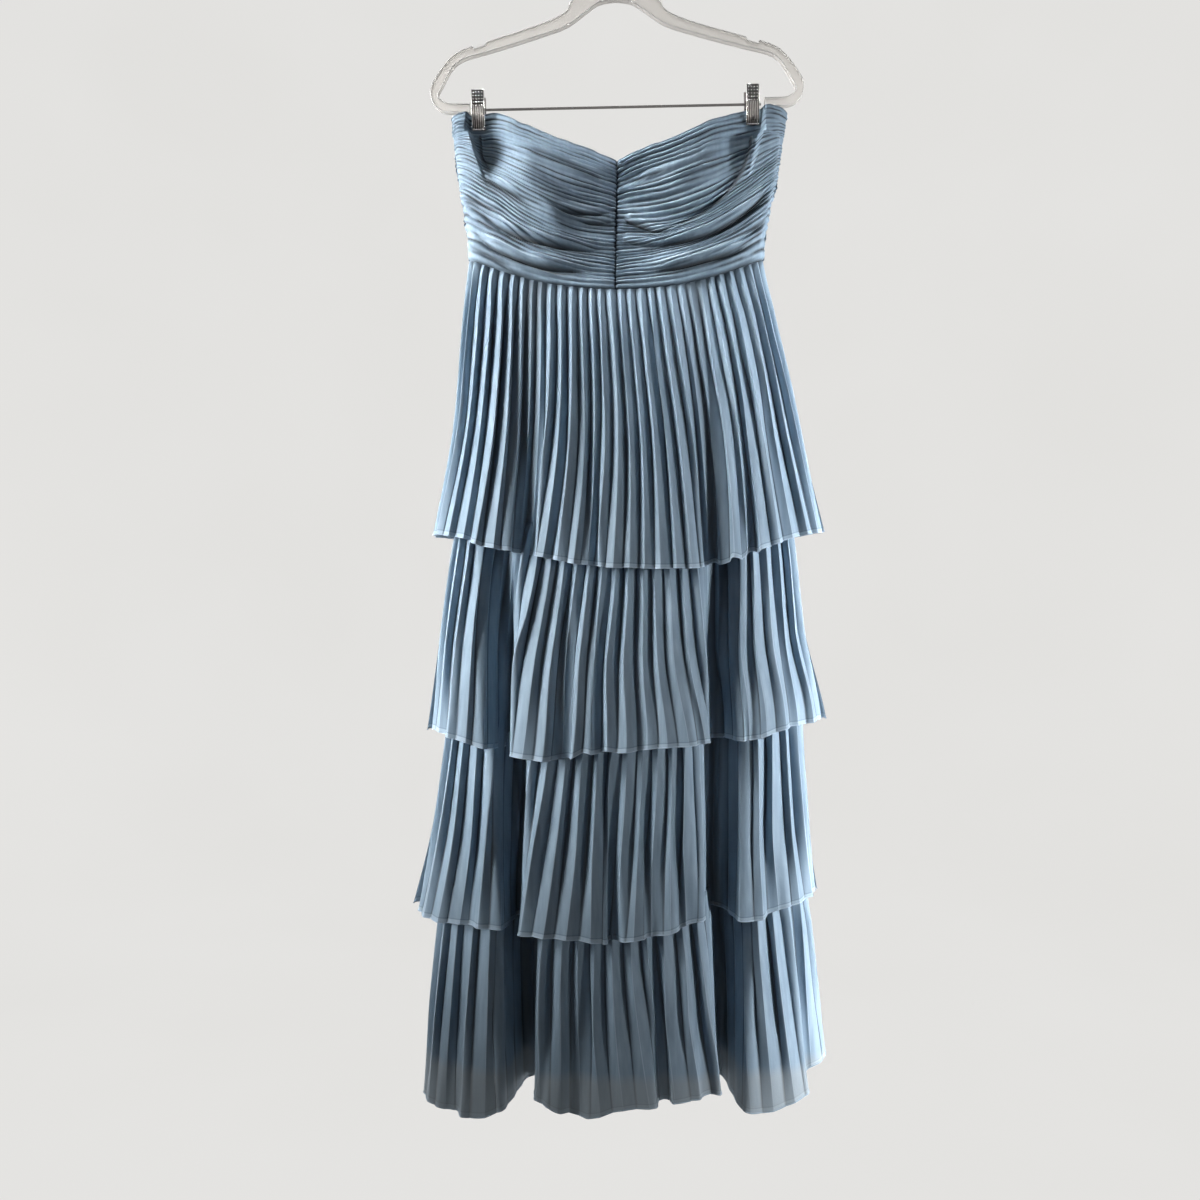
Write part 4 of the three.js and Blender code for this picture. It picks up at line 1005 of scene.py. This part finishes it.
# ---------------------------------------------------------------- room and light
def room():
    """Pale floor that curves up into a pale wall all round, far behind the dress."""
    m, nt, p, out = new_material("backdrop")
    L = nt.links.new
    coords = node(nt, "ShaderNodeTexCoord")
    n = node(nt, "ShaderNodeTexNoise", Scale=1.3, Detail=3.0, Roughness=0.5)
    L(coords.outputs["Object"], n.inputs["Vector"])
    ramp = node(nt, "ShaderNodeValToRGB")
    ramp.color_ramp.elements[0].position, ramp.color_ramp.elements[0].color = 0.3, (0.775, 0.768, 0.75, 1)
    ramp.color_ramp.elements[1].position, ramp.color_ramp.elements[1].color = 0.7, (0.79, 0.784, 0.768, 1)
    L(n.outputs["Fac"], ramp.inputs["Fac"])
    glow = node(nt, "ShaderNodeEmission", Strength=1.02)
    L(ramp.outputs["Color"], glow.inputs["Color"])
    p.inputs["Base Color"].default_value = (0.3, 0.295, 0.29, 1)
    p.inputs["Roughness"].default_value = 0.95
    p.inputs["Specular IOR Level"].default_value = 0.0
    both = node(nt, "ShaderNodeMixShader")
    both.inputs["Fac"].default_value = 0.96
    L(p.outputs["BSDF"], both.inputs[1])
    L(glow.outputs["Emission"], both.inputs[2])
    L(both.outputs["Shader"], out.inputs["Surface"])
    profile = [(0.0, -1.75), (2.0, -1.75)]
    for k in range(1, 15):
        a = k / 14 * math.pi / 2
        profile.append((2.0 + 1.2 * math.sin(a), -1.75 + 1.2 * (1 - math.cos(a))))
    profile += [(3.2, 0.6), (3.2, 3.0)]
    turns = 72
    points, faces = [], []
    for radius, z in profile:
        for k in range(turns):
            a = k / turns * 2 * math.pi
            points.append((radius * math.cos(a), radius * math.sin(a), z))
    for r in range(len(profile) - 1):
        for k in range(turns):
            n2 = (k + 1) % turns
            if r == 0:
                faces.append((k, turns + k, turns + n2))
            else:
                faces.append((r * turns + k, (r + 1) * turns + k, (r + 1) * turns + n2, r * turns + n2))
    ob = mesh_object("backdrop", points, faces, m)
    ob.visible_diffuse = False
    ob.visible_shadow = False


room()


def area(name, location, target, size, power, colour=(1, 1, 1), spread=180):
    data = bpy.data.lights.new(name, "AREA")
    data.shape = "RECTANGLE"
    data.size, data.size_y = size
    data.energy = power
    data.spread = math.radians(spread)
    data.color = colour
    ob = bpy.data.objects.new(name, data)
    ob.location = location
    direction = Vector(np.array(target) - np.array(location))
    ob.rotation_euler = direction.to_track_quat("-Z", "Y").to_euler()
    ob.visible_camera = False
    bpy.context.scene.collection.objects.link(ob)
    return ob


area("key", (-1.7, -0.45, -0.2), (0, 0, -0.7), (0.5, 0.8), 3.35, (1.0, 0.99, 0.97), spread=43)
area("left_front", (-1.2, -0.5, -0.6), (-0.44, 0, -0.72), (0.3, 0.8), 2.4, spread=30)
area("bodice_left", (-1.2, -0.32, -0.02), (-0.1, -0.03, -0.31), (0.35, 0.25), 0.50, (1.0, 0.99, 0.97), spread=17)
area("side_left", (-1.4, 0.85, -0.6), (0, 0, -0.75), (0.7, 1.8), 13.5)
area("side_right", (1.75, 0.0, -0.85), (0, 0, -0.85), (0.4, 2.2), 13)
area("right_front", (1.2, -0.55, -1.15), (0.45, 0, -1.15), (0.25, 1.7), 9.6, spread=26)
area("bodice_top", (-0.3, -0.55, 0.8), (0, -0.03, -0.25), (0.25, 0.15), 0.155, spread=13)
area("fill", (0.3, -2.6, 0.1), (0, 0, -0.75), (1.6, 1.6), 0.29)

# the room's own soft light: little from the front, more from behind the dress
world = bpy.data.worlds.new("world")
bpy.context.scene.world = world
world.use_nodes = True
wn = world.node_tree
bg = wn.nodes["Background"]
bg.inputs["Color"].default_value = (0.95, 0.96, 1.0, 1)
sky = wn.nodes.new("ShaderNodeTexCoord")
split = wn.nodes.new("ShaderNodeSeparateXYZ")
level = wn.nodes.new("ShaderNodeMapRange")
level.inputs["From Min"].default_value, level.inputs["From Max"].default_value = -0.4, 0.9
level.inputs["To Min"].default_value, level.inputs["To Max"].default_value = 0.008, 0.26
wn.links.new(sky.outputs["Generated"], split.inputs["Vector"])
wn.links.new(split.outputs["Y"], level.inputs["Value"])
wn.links.new(level.outputs["Result"], bg.inputs["Strength"])
bpy.context.scene.view_settings.view_transform = "Standard"
bpy.context.scene.view_settings.look = "None"
